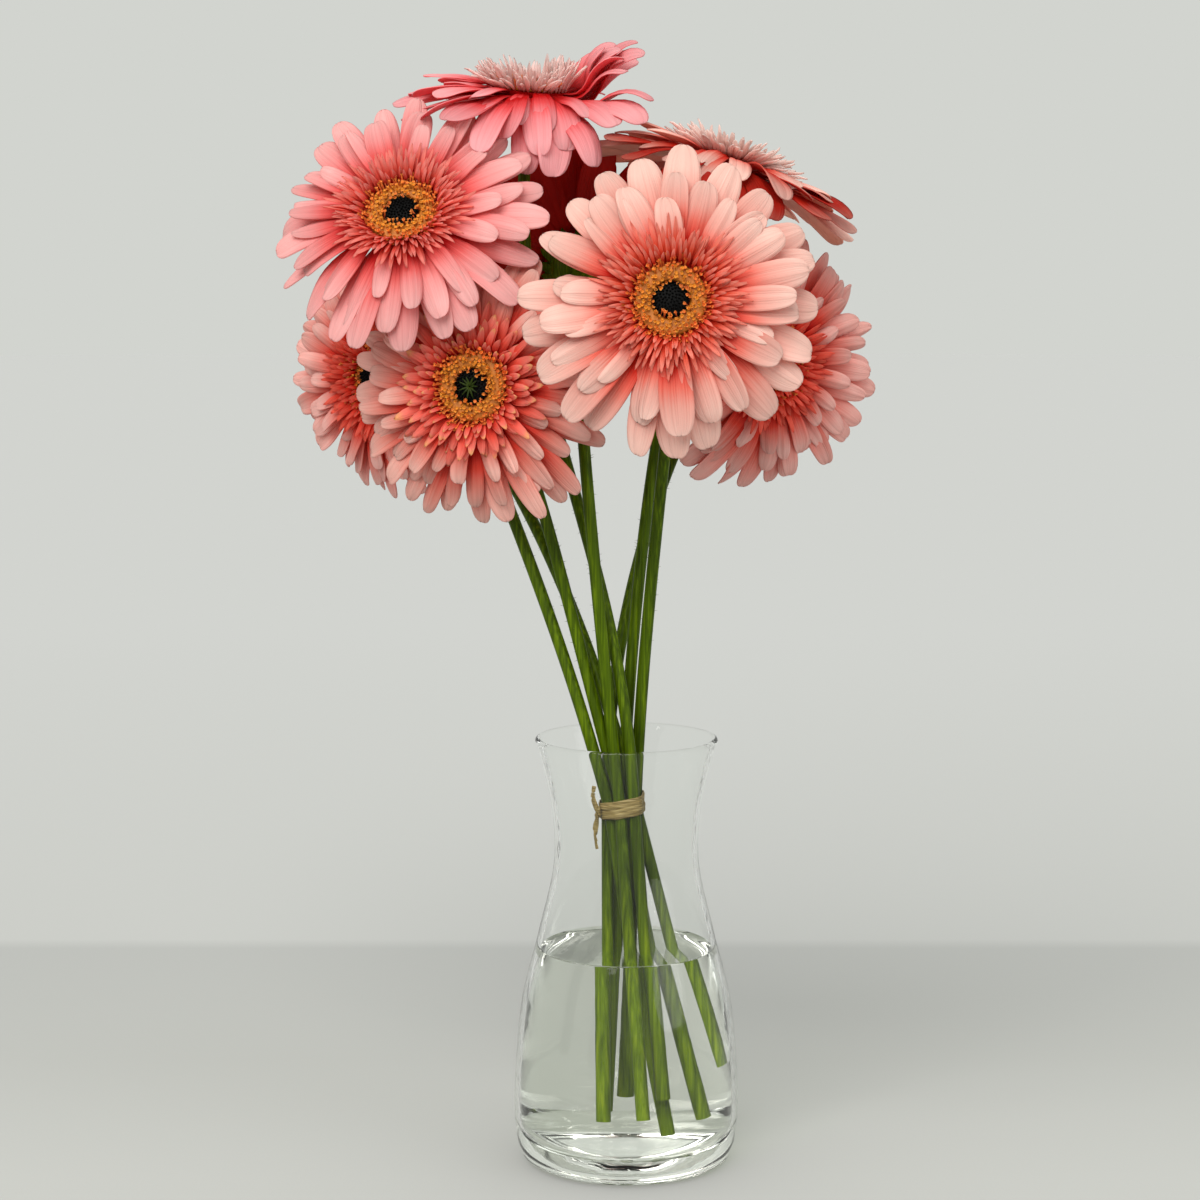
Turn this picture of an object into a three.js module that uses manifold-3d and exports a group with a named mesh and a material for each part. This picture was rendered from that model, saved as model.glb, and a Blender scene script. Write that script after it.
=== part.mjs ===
// A bunch of pink gerberas, tied at the waist and standing in a clear glass vase of water.
// Millimetres, +Z up. The origin is the centre of the vase's flat base, on the surface it stands on,
// and -Y is the side of the bunch that faces the viewer.
import * as THREE from "three";
import { mergeVertices } from "three/addons/utils/BufferGeometryUtils.js";
import Module from "manifold-3d";

const wasm = await Module();
wasm.setup();

// ---------------------------------------------------------------- driving dimensions

const seat = 0.3; // gap between two pieces that touch

const vase = {
  height: 180,
  // outer wall, as radius and height, from the rounded foot up to the flared rim
  wall: [
    [46, 9],
    [47.2, 27],
    [44.2, 66],
    [36.6, 98],
    [30.3, 127],
    [31.6, 153],
    [38, 180],
  ],
  footRadius: 38,
  thickness: 2.4,
  floor: 9,
  sides: 22,
  rows: 8,
};
const waterLevel = 90;

const stem = { radius: 2.45, sides: 6, steps: 9 };
// Share of the way from the tie to the neck over which a stem keeps the direction it left with.
const stemReach = 0.42;

const tie = { centre: [-1.5, 0, 151], band: 7.5, thickness: 1.4, slope: 0.2 };

// Every head is modelled with its face in the XY plane, looking up +Z.
const hub = { radius: 17.5, top: -0.3, bottom: -5.2, sides: 14 };
const calyx = { depth: 15, radius: 13, sides: 8 };
// Rows of strap petals. Rise is the angle at which a petal leaves the plane of the head, fall is how
// far it has bent back at its tip, and roll lays its one edge over the next petal's.
const petalRows = [
  { count: 16, turn: 0, root: 13, height: -4.1, length: 45.5, width: 13.2, rise: 5, fall: 24, roll: 10 },
  { count: 12, turn: 0.5, root: 13, height: -2.5, length: 37, width: 12.2, rise: 13, fall: 22, roll: 10 },
];
// Share of the length, and of the width, at each station of a petal from root to tip.
const petalOutline = [
  [0, 0.36],
  [0.5, 0.94],
  [0.87, 0.84],
];
const petal = { thickness: 1.2, cup: 0.9 };
// The short florets between the petals and the disc, which stand on a ring of their own.
const shortFlorets = {
  count: 12,
  inner: 14.7,
  outer: 17.2,
  height: 2,
  length: 12,
  width: 4.4,
  depth: 1.9,
  rise: 34,
};
const disc = { inner: 7, outer: 13.9, height: 3.4, teeth: 10 };
const eye = { radius: 6.7, height: 2.6, sides: 8 };

// Each flower: the middle of its head, the way the head faces (azimuth 0 towards the viewer, 90 to
// the right), its size, where its stem passes the tie, how the stem leans there in mm per mm of
// height, the share of its way over which it turns to meet the head, and where its cut end stands.
// bends lift petals, or let them droop, on one side of a head.
const flowers = [
  {
    name: "front_right",
    colour: 0xf8b7a6,
    eye: [16.1, -76, 362.6],
    azimuth: -5,
    elevation: 12,
    size: 1,
    slot: [5.5, 5.3],
    lean: [0.03, -0.06],
    turn: 0.3,
    foot: [0, 13, 26],
    bends: [
      { towards: [0.3, 0, -1], spread: 110, lift: -2, droop: 9 },
      { towards: [0, 0, 1], spread: 70, lift: 4, droop: -6 },
    ],
  },
  {
    name: "front_left",
    colour: 0xef9a93,
    eye: [-61.6, -38, 327.3],
    azimuth: -18,
    elevation: 6,
    size: 0.97,
    slot: [-0.5, 0],
    lean: [-0.27, -0.04],
    turn: 0.22,
    foot: [24, 3.5, 18],
    bends: [{ towards: [-0.4, 0, -1], spread: 130, lift: -3, droop: 16 }],
  },
  {
    name: "upper_left",
    colour: 0xf5a3a0,
    eye: [-89.9, -28, 396.1],
    azimuth: -8,
    elevation: 38,
    size: 1,
    slot: [-5.7, -2.8],
    lean: [-0.26, 0.02],
    turn: 0.3,
    foot: [13.5, -4.5, 14],
    bends: [
      { towards: [0, 0, 1], spread: 110, lift: 9, droop: 0 },
      { towards: [0, -0.6, -1], spread: 110, lift: -5, droop: 22 },
      { towards: [-1, 0, 0], spread: 70, lift: 0, droop: 20 },
      { towards: [1, 0, 0], spread: 50, lift: 0, droop: -12 },
    ],
  },
  {
    name: "top",
    colour: 0xf48b90,
    eye: [-40.0, 31, 447.4],
    azimuth: 30,
    elevation: 80,
    size: 0.98,
    slot: [4.7, -6.6],
    lean: [-0.05, 0.02],
    turn: 0.4,
    foot: [12.5, -11, 30],
    bends: [
      { towards: [0.3, -1, 0], spread: 72, lift: -10, droop: 60 },
      { towards: [1, 0.1, 0], spread: 78, lift: 106, droop: 92 },
      { towards: [-1, 0, 0], spread: 70, lift: 4, droop: -12 },
    ],
  },
  {
    name: "upper_right",
    colour: 0xf6b0a4,
    eye: [43.1, 22, 416.5],
    azimuth: 104,
    elevation: 69,
    size: 1,
    slot: [-0.2, 6.4],
    lean: [0.05, 0.04],
    turn: 0.25,
    foot: [-6.5, 3, 22],
    bends: [
      { towards: [1, -0.2, -0.4], spread: 80, lift: 0, droop: 6 },
      { towards: [-0.2, -1, 0], spread: 70, lift: -6, droop: 38 },
      { towards: [-1, 0.4, 0.4], spread: 70, lift: 0, droop: 16 },
    ],
  },
  {
    name: "right",
    colour: 0xe98f8c,
    eye: [59.7, 6, 334.4],
    azimuth: 36,
    elevation: 0,
    size: 0.95,
    slot: [-6.4, 3.2],
    lean: [-0.03, 0.14],
    turn: 0.18,
    foot: [-7.5, -7.5, 20],
    bends: [
      { towards: [0, 0, -1], spread: 100, lift: -4, droop: 14 },
      { towards: [1, 0, 0], spread: 80, lift: 4, droop: -18 },
      { towards: [-1, 0.3, -0.3], spread: 80, lift: -8, droop: 18 },
    ],
  },
  {
    name: "left",
    colour: 0xea8b88,
    eye: [-106.7, 42, 326.8],
    azimuth: -42,
    elevation: 0,
    size: 0.88,
    slot: [5.3, -0.7],
    lean: [-0.23, -0.04],
    turn: 0.2,
    foot: [32, 1, 40],
    bends: [
      { towards: [0, 0, -1], spread: 100, lift: -4, droop: 14 },
      { towards: [-1, 0, 0], spread: 80, lift: 2, droop: -14 },
      { towards: [1, 0, 0.4], spread: 80, lift: -8, droop: 20 },
    ],
  },
  {
    name: "back",
    colour: 0xe77f7d,
    eye: [-21.3, 66.5, 377.1],
    azimuth: 180,
    elevation: 22,
    size: 0.98,
    slot: [-1.2, -6.7],
    lean: [-0.11, 0.11],
    turn: 0.42,
    foot: [6, -22, 24],
    bends: [{ towards: [0, 0, -1], spread: 110, lift: -4, droop: 20 }],
  },
];

// ---------------------------------------------------------------- helpers

const radians = THREE.MathUtils.degToRad;
const fullTurn = 2 * Math.PI;

// A repeatable random draw between -1 and 1.
function seededDraw(seed) {
  let state = seed >>> 0;
  return () => {
    state = (state * 1664525 + 1013904223) >>> 0;
    return (state / 4294967296) * 2 - 1;
  };
}

function solidOf(points, triangles) {
  return new wasm.Manifold(
    new wasm.Mesh({
      numProp: 3,
      vertProperties: new Float32Array(points.flatMap((p) => [p.x, p.y, p.z])),
      triVerts: new Uint32Array(triangles.flat()),
    }),
  );
}

function solidOfGeometry(geometry) {
  const bare = new THREE.BufferGeometry().setAttribute("position", geometry.getAttribute("position"));
  if (geometry.index) bare.setIndex(geometry.index);
  const merged = mergeVertices(bare, 1e-3);
  const corners = merged.index.array;
  const triangles = [];
  for (let i = 0; i < corners.length; i += 3) {
    const [a, b, c] = [corners[i], corners[i + 1], corners[i + 2]];
    if (a !== b && b !== c && a !== c) triangles.push([a, b, c]);
  }
  const place = merged.getAttribute("position");
  const points = [];
  for (let i = 0; i < place.count; i++) points.push(new THREE.Vector3().fromBufferAttribute(place, i));
  return solidOf(points, triangles);
}

function geometryOf(solid) {
  const mesh = solid.getMesh();
  const place = new Float32Array(mesh.numVert * 3);
  for (let i = 0; i < mesh.numVert; i++) {
    place.set(mesh.vertProperties.subarray(i * mesh.numProp, i * mesh.numProp + 3), i * 3);
  }
  const geometry = new THREE.BufferGeometry();
  geometry.setAttribute("position", new THREE.BufferAttribute(place, 3));
  geometry.setIndex(new THREE.BufferAttribute(new Uint32Array(mesh.triVerts), 1));
  geometry.computeVertexNormals();
  return geometry;
}

function joined(solids) {
  return solids.reduce((whole, next) => whole.add(next));
}

// A body skinned over rings of equal count: capped flat at both ends, or closed into a loop.
function ringBody(rings, closed = false) {
  const n = rings[0].length;
  const triangles = [];
  const spans = closed ? rings.length : rings.length - 1;
  for (let r = 0; r < spans; r++) {
    const near = r * n;
    const far = ((r + 1) % rings.length) * n;
    for (let k = 0; k < n; k++) {
      const next = (k + 1) % n;
      triangles.push([near + k, near + next, far + next], [near + k, far + next, far + k]);
    }
  }
  if (!closed) {
    const last = (rings.length - 1) * n;
    for (let k = 1; k + 1 < n; k++) triangles.push([0, k + 1, k], [last, last + k, last + k + 1]);
  }
  return solidOf(rings.flat(), triangles);
}

// Turns a profile of [radius, height] pairs about Z.
function turned(profile, sides) {
  const geometry = new THREE.LatheGeometry(
    profile.map(([r, z]) => new THREE.Vector2(r, z)),
    sides,
  );
  return geometry.rotateX(Math.PI / 2);
}

function polar(radius, phi, z) {
  return new THREE.Vector3(Math.cos(phi) * radius, Math.sin(phi) * radius, z);
}

// ---------------------------------------------------------------- materials

const glassMaterial = new THREE.MeshStandardMaterial({
  color: 0xe9efec,
  roughness: 0.04,
  metalness: 0,
  opacity: 0.3,
  transparent: true,
});
const waterMaterial = new THREE.MeshStandardMaterial({
  color: 0xdfe8df,
  roughness: 0.02,
  metalness: 0,
  opacity: 0.4,
  transparent: true,
});
const stemMaterial = new THREE.MeshStandardMaterial({ color: 0x4c7012, roughness: 0.55, metalness: 0 });
const floretMaterial = new THREE.MeshStandardMaterial({ color: 0xee7263, roughness: 0.6, metalness: 0 });
const discMaterial = new THREE.MeshStandardMaterial({ color: 0xd98a2b, roughness: 0.7, metalness: 0 });
const eyeMaterial = new THREE.MeshStandardMaterial({ color: 0x17100f, roughness: 0.7, metalness: 0 });
const tieMaterial = new THREE.MeshStandardMaterial({ color: 0xb99e62, roughness: 0.85, metalness: 0 });

// ---------------------------------------------------------------- vase and water

const wallCurve = new THREE.SplineCurve(vase.wall.map(([r, z]) => new THREE.Vector2(r, z)));
const outerWall = wallCurve.getPoints(vase.rows).map((p) => [p.x, p.y]);

// Radius of the inner wall at a height, read off the rows of the outer wall.
function innerRadius(z) {
  const above = outerWall.findIndex(([, height]) => height >= z);
  const [r0, z0] = outerWall[above - 1];
  const [r1, z1] = outerWall[above];
  return r0 + ((r1 - r0) * (z - z0)) / (z1 - z0) - vase.thickness;
}

function vaseGeometry() {
  const rim = vase.wall.at(-1)[0];
  const lip = vase.thickness * 0.35;
  const inner = outerWall.slice(1, -1).map(([r, z]) => [r - vase.thickness, z]);
  const profile = [
    [0, 0],
    [vase.footRadius, 0],
    [vase.footRadius + 5.5, 2.2],
    ...outerWall.slice(0, -1),
    [rim, vase.height - lip],
    [rim - vase.thickness / 2, vase.height],
    [rim - vase.thickness, vase.height - lip],
    ...inner.reverse(),
    [vase.wall[0][0] - vase.thickness - 4, vase.floor],
    [0, vase.floor],
  ];
  return turned(profile, vase.sides);
}

function waterSolid(holes) {
  const wall = outerWall.slice(1).filter(([, z]) => z < waterLevel - 3);
  const profile = [
    [0, vase.floor + seat],
    [vase.wall[0][0] - vase.thickness - 4 - seat, vase.floor + seat],
    ...wall.map(([r, z]) => [r - vase.thickness - seat, z]),
    [innerRadius(waterLevel) - seat, waterLevel],
    [0, waterLevel],
  ];
  return holes.reduce((left, hole) => left.subtract(hole), solidOfGeometry(turned(profile, vase.sides)));
}

// ---------------------------------------------------------------- stems

function facing(flower) {
  const azimuth = radians(flower.azimuth);
  const elevation = radians(flower.elevation);
  const level = Math.cos(elevation);
  return new THREE.Vector3(Math.sin(azimuth) * level, -Math.cos(azimuth) * level, Math.sin(elevation));
}

// The head's frame: X to the right and Y up for someone who looks the flower in the face.
function headFrame(flower) {
  const out = facing(flower);
  const right = new THREE.Vector3(0, 0, 1).cross(out).normalize();
  const up = out.clone().cross(right);
  return new THREE.Matrix4().makeBasis(right, up, out).setPosition(...flower.eye);
}

// The middle of a stem: straight from its cut end to the tie, then one bend to the back of its head.
class StemCurve extends THREE.Curve {
  constructor(flower, extra = 0) {
    super();
    const out = facing(flower);
    const atTie = new THREE.Vector3(...tie.centre).add(new THREE.Vector3(...flower.slot, 0));
    const neckDepth = hub.bottom - seat - calyx.depth * 0.9;
    const neck = new THREE.Vector3(...flower.eye).addScaledVector(out, neckDepth);
    const span = neck.distanceTo(atTie);
    const lean = new THREE.Vector3(...flower.lean, 1).normalize();
    const foot = new THREE.Vector3(...flower.foot);
    foot.addScaledVector(foot.clone().sub(atTie).normalize(), extra);
    this.lower = new THREE.LineCurve3(foot, atTie);
    this.upper = new THREE.CubicBezierCurve3(
      atTie,
      atTie.clone().addScaledVector(lean, span * stemReach),
      neck.clone().addScaledVector(out, -span * flower.turn),
      neck,
    );
  }

  // The first of the stem's steps is its straight part, and the others share the bend.
  getPoint(t, target = new THREE.Vector3()) {
    const u = t * stem.steps;
    return u < 1 ? this.lower.getPoint(u, target) : this.upper.getPoint((u - 1) / (stem.steps - 1), target);
  }

  getPointAt(t, target) {
    return this.getPoint(t, target);
  }

  getTangentAt(t, target) {
    return this.getTangent(t, target);
  }
}

// The stem as a solid. extra widens it and lengthens its foot, for the hole it stands in.
function stemSolid(flower, extra = 0) {
  const section = new THREE.Shape();
  for (let k = 0; k < stem.sides; k++) {
    const corner = polar(stem.radius + extra, (k / stem.sides) * fullTurn, 0);
    if (k) section.lineTo(corner.x, corner.y);
    else section.moveTo(corner.x, corner.y);
  }
  const extrudePath = new StemCurve(flower, extra);
  return solidOfGeometry(new THREE.ExtrudeGeometry(section, { steps: stem.steps, extrudePath }));
}

// The green cup behind the head: its rows of bracts show as steps in and out.
function calyxSolid(frame) {
  const top = hub.bottom - seat;
  const rows = [
    [stem.radius, top - calyx.depth],
    [calyx.radius * 0.45, top - calyx.depth * 0.9],
    [calyx.radius * 0.84, top - calyx.depth * 0.5],
    [calyx.radius, top - 1.4],
    [calyx.radius * 0.75, top],
  ];
  const rings = rows.map(([radius, z], i) => {
    const ring = [];
    for (let k = 0; k < calyx.sides; k++) {
      const bract = (k + i) % 2 ? 1 : 0.9;
      ring.push(polar(radius * bract, ((k + (i % 2) / 2) / calyx.sides) * fullTurn, z).applyMatrix4(frame));
    }
    return ring;
  });
  return ringBody(rings);
}

// ---------------------------------------------------------------- heads

// How far the bends of a flower lift its petal at angle phi of the head, and let it droop.
function bendAt(flower, frame, phi) {
  const right = new THREE.Vector3();
  const up = new THREE.Vector3();
  frame.extractBasis(right, up, new THREE.Vector3());
  let lift = 0;
  let droop = 0;
  for (const bend of flower.bends) {
    const towards = new THREE.Vector3(...bend.towards);
    const middle = Math.atan2(towards.dot(up), towards.dot(right));
    const off = Math.abs(THREE.MathUtils.euclideanModulo(phi - middle + Math.PI, fullTurn) - Math.PI);
    const share = Math.max(0, Math.cos(Math.min(1, off / radians(bend.spread)) * (Math.PI / 2))) ** 2;
    lift += bend.lift * share;
    droop += bend.droop * share;
  }
  return { lift, droop };
}

// The middle line of a petal at share s of its length: it leaves the hub at its rise, takes up the
// lift once clear of it, and bends back all the way.
function petalLine({ phi, root, height, length, rise, lift, fall }, s) {
  const steps = 20;
  const angleAt = (t) => radians(rise + lift * THREE.MathUtils.clamp((t - 0.12) * 3, 0, 1) - fall * t);
  const point = polar(root, phi, height);
  for (let i = 0; i < steps; i++) {
    const angle = angleAt(((i + 0.5) / steps) * s);
    point.addScaledVector(polar(Math.cos(angle), phi, Math.sin(angle)), (length * s) / steps);
  }
  return { point, angle: angleAt(s) };
}

function petalSolid(shape) {
  const { phi, width, roll } = shape;
  const outwards = polar(1, phi, 0);
  const across = polar(1, phi + Math.PI / 2, 0);
  const face = new THREE.Vector3(0, 0, 1);
  const points = [];
  for (const [s, share] of petalOutline) {
    const { point, angle } = petalLine(shape, s);
    const normal = face.clone().multiplyScalar(Math.cos(angle)).addScaledVector(outwards, -Math.sin(angle));
    const tilt = radians(roll) * Math.min(1, s * 2);
    const side = across.clone().multiplyScalar(Math.cos(tilt)).addScaledVector(normal, Math.sin(tilt));
    const over = normal.clone().multiplyScalar(Math.cos(tilt)).addScaledVector(across, -Math.sin(tilt));
    const half = (width / 2) * share;
    const edge = petal.cup * share;
    points.push(
      point.clone().addScaledVector(side, -half).addScaledVector(over, edge),
      point.clone().addScaledVector(over, -petal.thickness / 2),
      point.clone().addScaledVector(side, half).addScaledVector(over, edge),
      point.clone().addScaledVector(over, petal.thickness / 2),
    );
  }
  const tip = points.push(petalLine(shape, 1).point) - 1;
  const triangles = [
    [0, 2, 1],
    [0, 3, 2],
  ];
  for (let i = 0; i + 4 < tip; i += 4) {
    for (let k = 0; k < 4; k++) {
      const a = i + k;
      const b = i + ((k + 1) % 4);
      if (k % 2) triangles.push([a, b, a + 4], [b, b + 4, a + 4]);
      else triangles.push([a, b, b + 4], [a, b + 4, a + 4]);
    }
  }
  for (let k = 0; k < 4; k++) triangles.push([tip - 4 + k, tip - 4 + ((k + 1) % 4), tip]);
  return solidOf(points, triangles);
}

function petalsGeometry(flower, frame, seed) {
  const draw = seededDraw(seed);
  const hubProfile = [
    [0, hub.bottom],
    [hub.radius * 0.8, hub.bottom],
    [hub.radius, (hub.bottom + hub.top) / 2],
    [hub.radius * 0.97, hub.top],
    [0, hub.top],
  ];
  const parts = [solidOfGeometry(turned(hubProfile, hub.sides))];
  for (const row of petalRows) {
    for (let k = 0; k < row.count; k++) {
      const phi = ((k + row.turn + draw() * 0.1) / row.count) * fullTurn;
      const { lift, droop } = bendAt(flower, frame, phi);
      parts.push(
        petalSolid({
          ...row,
          phi,
          length: row.length * flower.size * (1 + draw() * 0.05),
          width: row.width * flower.size,
          rise: row.rise + draw() * 1.5,
          lift,
          fall: row.fall + droop,
        }),
      );
    }
  }
  return geometryOf(joined(parts));
}

// A short three-sided floret that leans out of its ring, over the feet of the petals.
function shortFloretSolid(phi, length, rise) {
  const across = polar(1, phi + Math.PI / 2, 0);
  const along = polar(Math.cos(rise), phi, Math.sin(rise));
  const normal = along.clone().cross(across);
  const start = polar(shortFlorets.outer - 0.7, phi, hub.top + seat + shortFlorets.height * 0.55);
  const section = (at, share) => [
    at.clone().addScaledVector(across, (-shortFlorets.width / 2) * share),
    at.clone().addScaledVector(normal, -shortFlorets.depth * share),
    at.clone().addScaledVector(across, (shortFlorets.width / 2) * share),
  ];
  const wide = start.clone().addScaledVector(along, length * 0.6);
  const tip = start.clone().addScaledVector(along, length);
  const points = [...section(start, 0.6), ...section(wide, 1), tip];
  return solidOf(points, [
    [0, 2, 1],
    [0, 1, 4],
    [0, 4, 3],
    [1, 2, 5],
    [1, 5, 4],
    [2, 0, 3],
    [2, 3, 5],
    [3, 4, 6],
    [4, 5, 6],
    [5, 3, 6],
  ]);
}

function shortFloretsGeometry(flower, frame, seed) {
  const draw = seededDraw(seed);
  const floor = hub.top + seat;
  const ringProfile = [
    [shortFlorets.inner, floor],
    [shortFlorets.outer, floor],
    [shortFlorets.outer, floor + shortFlorets.height],
    [shortFlorets.inner, floor + shortFlorets.height],
    [shortFlorets.inner, floor],
  ];
  const parts = [solidOfGeometry(turned(ringProfile, shortFlorets.count))];
  for (let k = 0; k < shortFlorets.count; k++) {
    const phi = ((k + 0.5) / shortFlorets.count) * fullTurn;
    const lift = Math.min(40, Math.max(0, bendAt(flower, frame, phi).lift));
    const rise = radians(shortFlorets.rise + draw() * 6 + lift);
    parts.push(shortFloretSolid(phi, shortFlorets.length * (1 + draw() * 0.15), rise));
  }
  return geometryOf(joined(parts));
}

// The ring of tubular florets, whose crest stands up in teeth.
function discGeometry() {
  const floor = hub.top + seat;
  const rings = [];
  for (let k = 0; k < disc.teeth * 2; k++) {
    const phi = (k / (disc.teeth * 2)) * fullTurn;
    const tall = k % 2 ? 1 : 0.7;
    rings.push([
      polar(disc.inner, phi, floor),
      polar(disc.outer, phi, floor),
      polar(disc.outer - 0.5, phi, floor + disc.height * tall),
      polar(disc.inner + 0.5, phi, floor + disc.height * (1.6 - tall)),
    ]);
  }
  return geometryOf(ringBody(rings.reverse(), true));
}

function eyeGeometry() {
  const floor = hub.top + seat;
  const rows = [
    [eye.radius, 0, 0],
    [eye.radius, eye.height * 0.7, 0.5],
    [eye.radius * 0.45, eye.height, 0.3],
  ];
  const rings = rows.map(([radius, above, bump]) => {
    const ring = [];
    for (let k = 0; k < eye.sides; k++) {
      const odd = k % 2;
      ring.push(polar(radius * (odd ? 1 : 0.9), (k / eye.sides) * fullTurn, floor + above + odd * bump));
    }
    return ring;
  });
  return geometryOf(ringBody(rings));
}

// ---------------------------------------------------------------- the tie

// The convex outline of a set of points in plan, anticlockwise.
function outlineRound(points) {
  const sorted = [...points].sort((a, b) => a.x - b.x || a.y - b.y);
  const turnOf = (o, a, b) => (a.x - o.x) * (b.y - o.y) - (a.y - o.y) * (b.x - o.x);
  const half = (list) => {
    const chain = [];
    for (const p of list) {
      while (chain.length > 1 && turnOf(chain.at(-2), chain.at(-1), p) <= 0) chain.pop();
      chain.push(p);
    }
    return chain.slice(0, -1);
  };
  return [...half(sorted), ...half(sorted.reverse())];
}

// Where the middle of a stem passes a height.
function stemAtHeight(curve, z) {
  const points = curve.getPoints(stem.steps);
  const above = points.findIndex((p) => p.z >= z);
  const [low, high] = [points[above - 1], points[above]];
  return low.clone().lerp(high, (z - low.z) / (high.z - low.z));
}

// A wound band that follows the outline of the bunch, with a knot and two short ends.
function tieSolid() {
  const touched = [];
  for (const flower of flowers) {
    const curve = new StemCurve(flower);
    for (const dz of [-tie.band * 0.75, 0, tie.band * 0.75]) {
      const centre = stemAtHeight(curve, tie.centre[2] + dz);
      for (let k = 0; k < 12; k++) {
        touched.push(polar(stem.radius + seat * 1.5, (k / 12) * fullTurn, 0).add(centre).setZ(0));
      }
    }
  }
  const outline = [];
  for (const p of outlineRound(touched)) {
    if (!outline.length || p.distanceTo(outline.at(-1)) > 1.5) outline.push(p);
  }
  const middle = new THREE.Vector3(...tie.centre);
  const section = [
    [0, -0.5],
    [0.9, -0.4],
    [0.65, -0.14],
    [1, 0.06],
    [0.9, 0.4],
    [0, 0.5],
  ];
  const rings = outline.map((p) => {
    const outwards = new THREE.Vector3(p.x - middle.x, p.y - middle.y, 0).normalize();
    const z = middle.z + (p.x - middle.x) * tie.slope;
    return section.map(([out, up]) =>
      new THREE.Vector3(p.x, p.y, z + up * tie.band).addScaledVector(outwards, out * tie.thickness),
    );
  });
  const band = ringBody(rings.reverse(), true);
  const knotAt = outline.reduce((best, p) => (p.x + p.y * 0.6 < best.x + best.y * 0.6 ? p : best));
  const outwards = new THREE.Vector3(knotAt.x - middle.x, knotAt.y - middle.y, 0).normalize();
  const knotCentre = new THREE.Vector3(knotAt.x, knotAt.y, middle.z + (knotAt.x - middle.x) * tie.slope);
  knotCentre.addScaledVector(outwards, tie.thickness + 0.6);
  const knotShape = new THREE.SphereGeometry(2.4, 6, 4).translate(...knotCentre.toArray());
  const tail = (rise, length) => {
    const rightwards = outwards.clone().cross(new THREE.Vector3(0, 0, 1));
    const slices = [0, 0.5, 1].map((s) => {
      const at = knotCentre.clone().addScaledVector(outwards, 1.6 * Math.sin(s * 2.2));
      at.z += rise * length * s;
      at.addScaledVector(rightwards, rise * 1.2 * s);
      const half = 1.5 - 0.5 * s;
      return [
        at.clone().addScaledVector(rightwards, -half),
        at.clone().addScaledVector(rightwards, half),
        at.clone().addScaledVector(rightwards, half).addScaledVector(outwards, 0.8),
        at.clone().addScaledVector(rightwards, -half).addScaledVector(outwards, 0.8),
      ];
    });
    return ringBody(rise > 0 ? slices : slices.reverse());
  };
  return joined([band, solidOfGeometry(knotShape), tail(1, 11), tail(-1, 15)]);
}

// ---------------------------------------------------------------- assembly

const bunch = new THREE.Group();

function addPiece(parent, name, geometry, material) {
  const mesh = new THREE.Mesh(geometry, material);
  mesh.name = name;
  parent.add(mesh);
}

flowers.forEach((flower, i) => {
  const frame = headFrame(flower);
  const petalMaterial = new THREE.MeshStandardMaterial({
    color: flower.colour,
    roughness: 0.6,
    metalness: 0,
  });
  const head = new THREE.Group();
  head.applyMatrix4(frame);
  addPiece(head, `petals_${flower.name}`, petalsGeometry(flower, frame, 101 + i * 17), petalMaterial);
  const shortFloretsAround = shortFloretsGeometry(flower, frame, 211 + i * 13);
  addPiece(head, `florets_${flower.name}`, shortFloretsAround, floretMaterial);
  addPiece(head, `disc_${flower.name}`, discGeometry(), discMaterial);
  addPiece(head, `eye_${flower.name}`, eyeGeometry(), eyeMaterial);
  bunch.add(head);
  const wholeStem = calyxSolid(frame).add(stemSolid(flower));
  addPiece(bunch, `stem_${flower.name}`, geometryOf(wholeStem), stemMaterial);
});
addPiece(bunch, "vase", vaseGeometry(), glassMaterial);
const holes = flowers.map((flower) => stemSolid(flower, seat));
addPiece(bunch, "water", geometryOf(waterSolid(holes)), waterMaterial);
addPiece(bunch, "tie", geometryOf(tieSolid()), tieMaterial);

export default bunch;
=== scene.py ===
# A tied bunch of pink gerberas in a clear glass vase of water.
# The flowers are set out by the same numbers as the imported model, in millimetres, and every mesh is
# made in metres in its frame: origin in the middle of the vase's base, -Y towards the viewer.
import math
import random

import bmesh
import bpy
import numpy as np
from mathutils import Matrix, Vector


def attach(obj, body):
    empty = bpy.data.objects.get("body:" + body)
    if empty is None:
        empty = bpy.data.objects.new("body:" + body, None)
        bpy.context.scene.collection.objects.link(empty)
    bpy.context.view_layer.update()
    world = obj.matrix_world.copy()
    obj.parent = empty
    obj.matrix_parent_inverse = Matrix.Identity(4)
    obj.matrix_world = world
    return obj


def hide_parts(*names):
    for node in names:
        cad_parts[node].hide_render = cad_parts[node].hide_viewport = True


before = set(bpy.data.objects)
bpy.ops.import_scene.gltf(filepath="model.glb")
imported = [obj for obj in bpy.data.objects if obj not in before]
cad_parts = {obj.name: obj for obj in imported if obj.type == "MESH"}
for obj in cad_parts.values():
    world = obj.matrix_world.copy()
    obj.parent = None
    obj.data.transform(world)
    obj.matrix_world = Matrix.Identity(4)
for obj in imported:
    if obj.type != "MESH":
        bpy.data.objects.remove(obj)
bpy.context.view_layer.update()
mm = 0.001

# camera, light and floor
view = {"place": (-0.011, -1.2, 0.390), "pitch": 7.25, "lens": 87.8, "sensor": 36}
studio = {
    "sky": "#d2d4cf",
    "skyStrength": 1.0,
    # painted light: the floor is painted lighter in front and darker towards its back edge, and the wall beyond darker
    # at its foot, as painted shade
    "floorLitFront": "#b8bab8",
    "floor": "#afb1af",
    "floorDimBack": "#abadac",
    "wallShadedFoot": "#b6b8b7",
    "wall": "#babcbc",
    "floorEdge": 0.37,  # how far behind the vase the board ends, in metres
    "floorRadius": 8.0,
    # each sun: the way it shines, its strength, how wide it is in degrees, and its colour
    "suns": [
        ((0.32, 0.9, -0.85), 3.0, 50, "#fffbf6"),
        ((-0.8, 0.6, -0.3), 0.5, 40, "#ffffff"),
    ],
}


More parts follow.
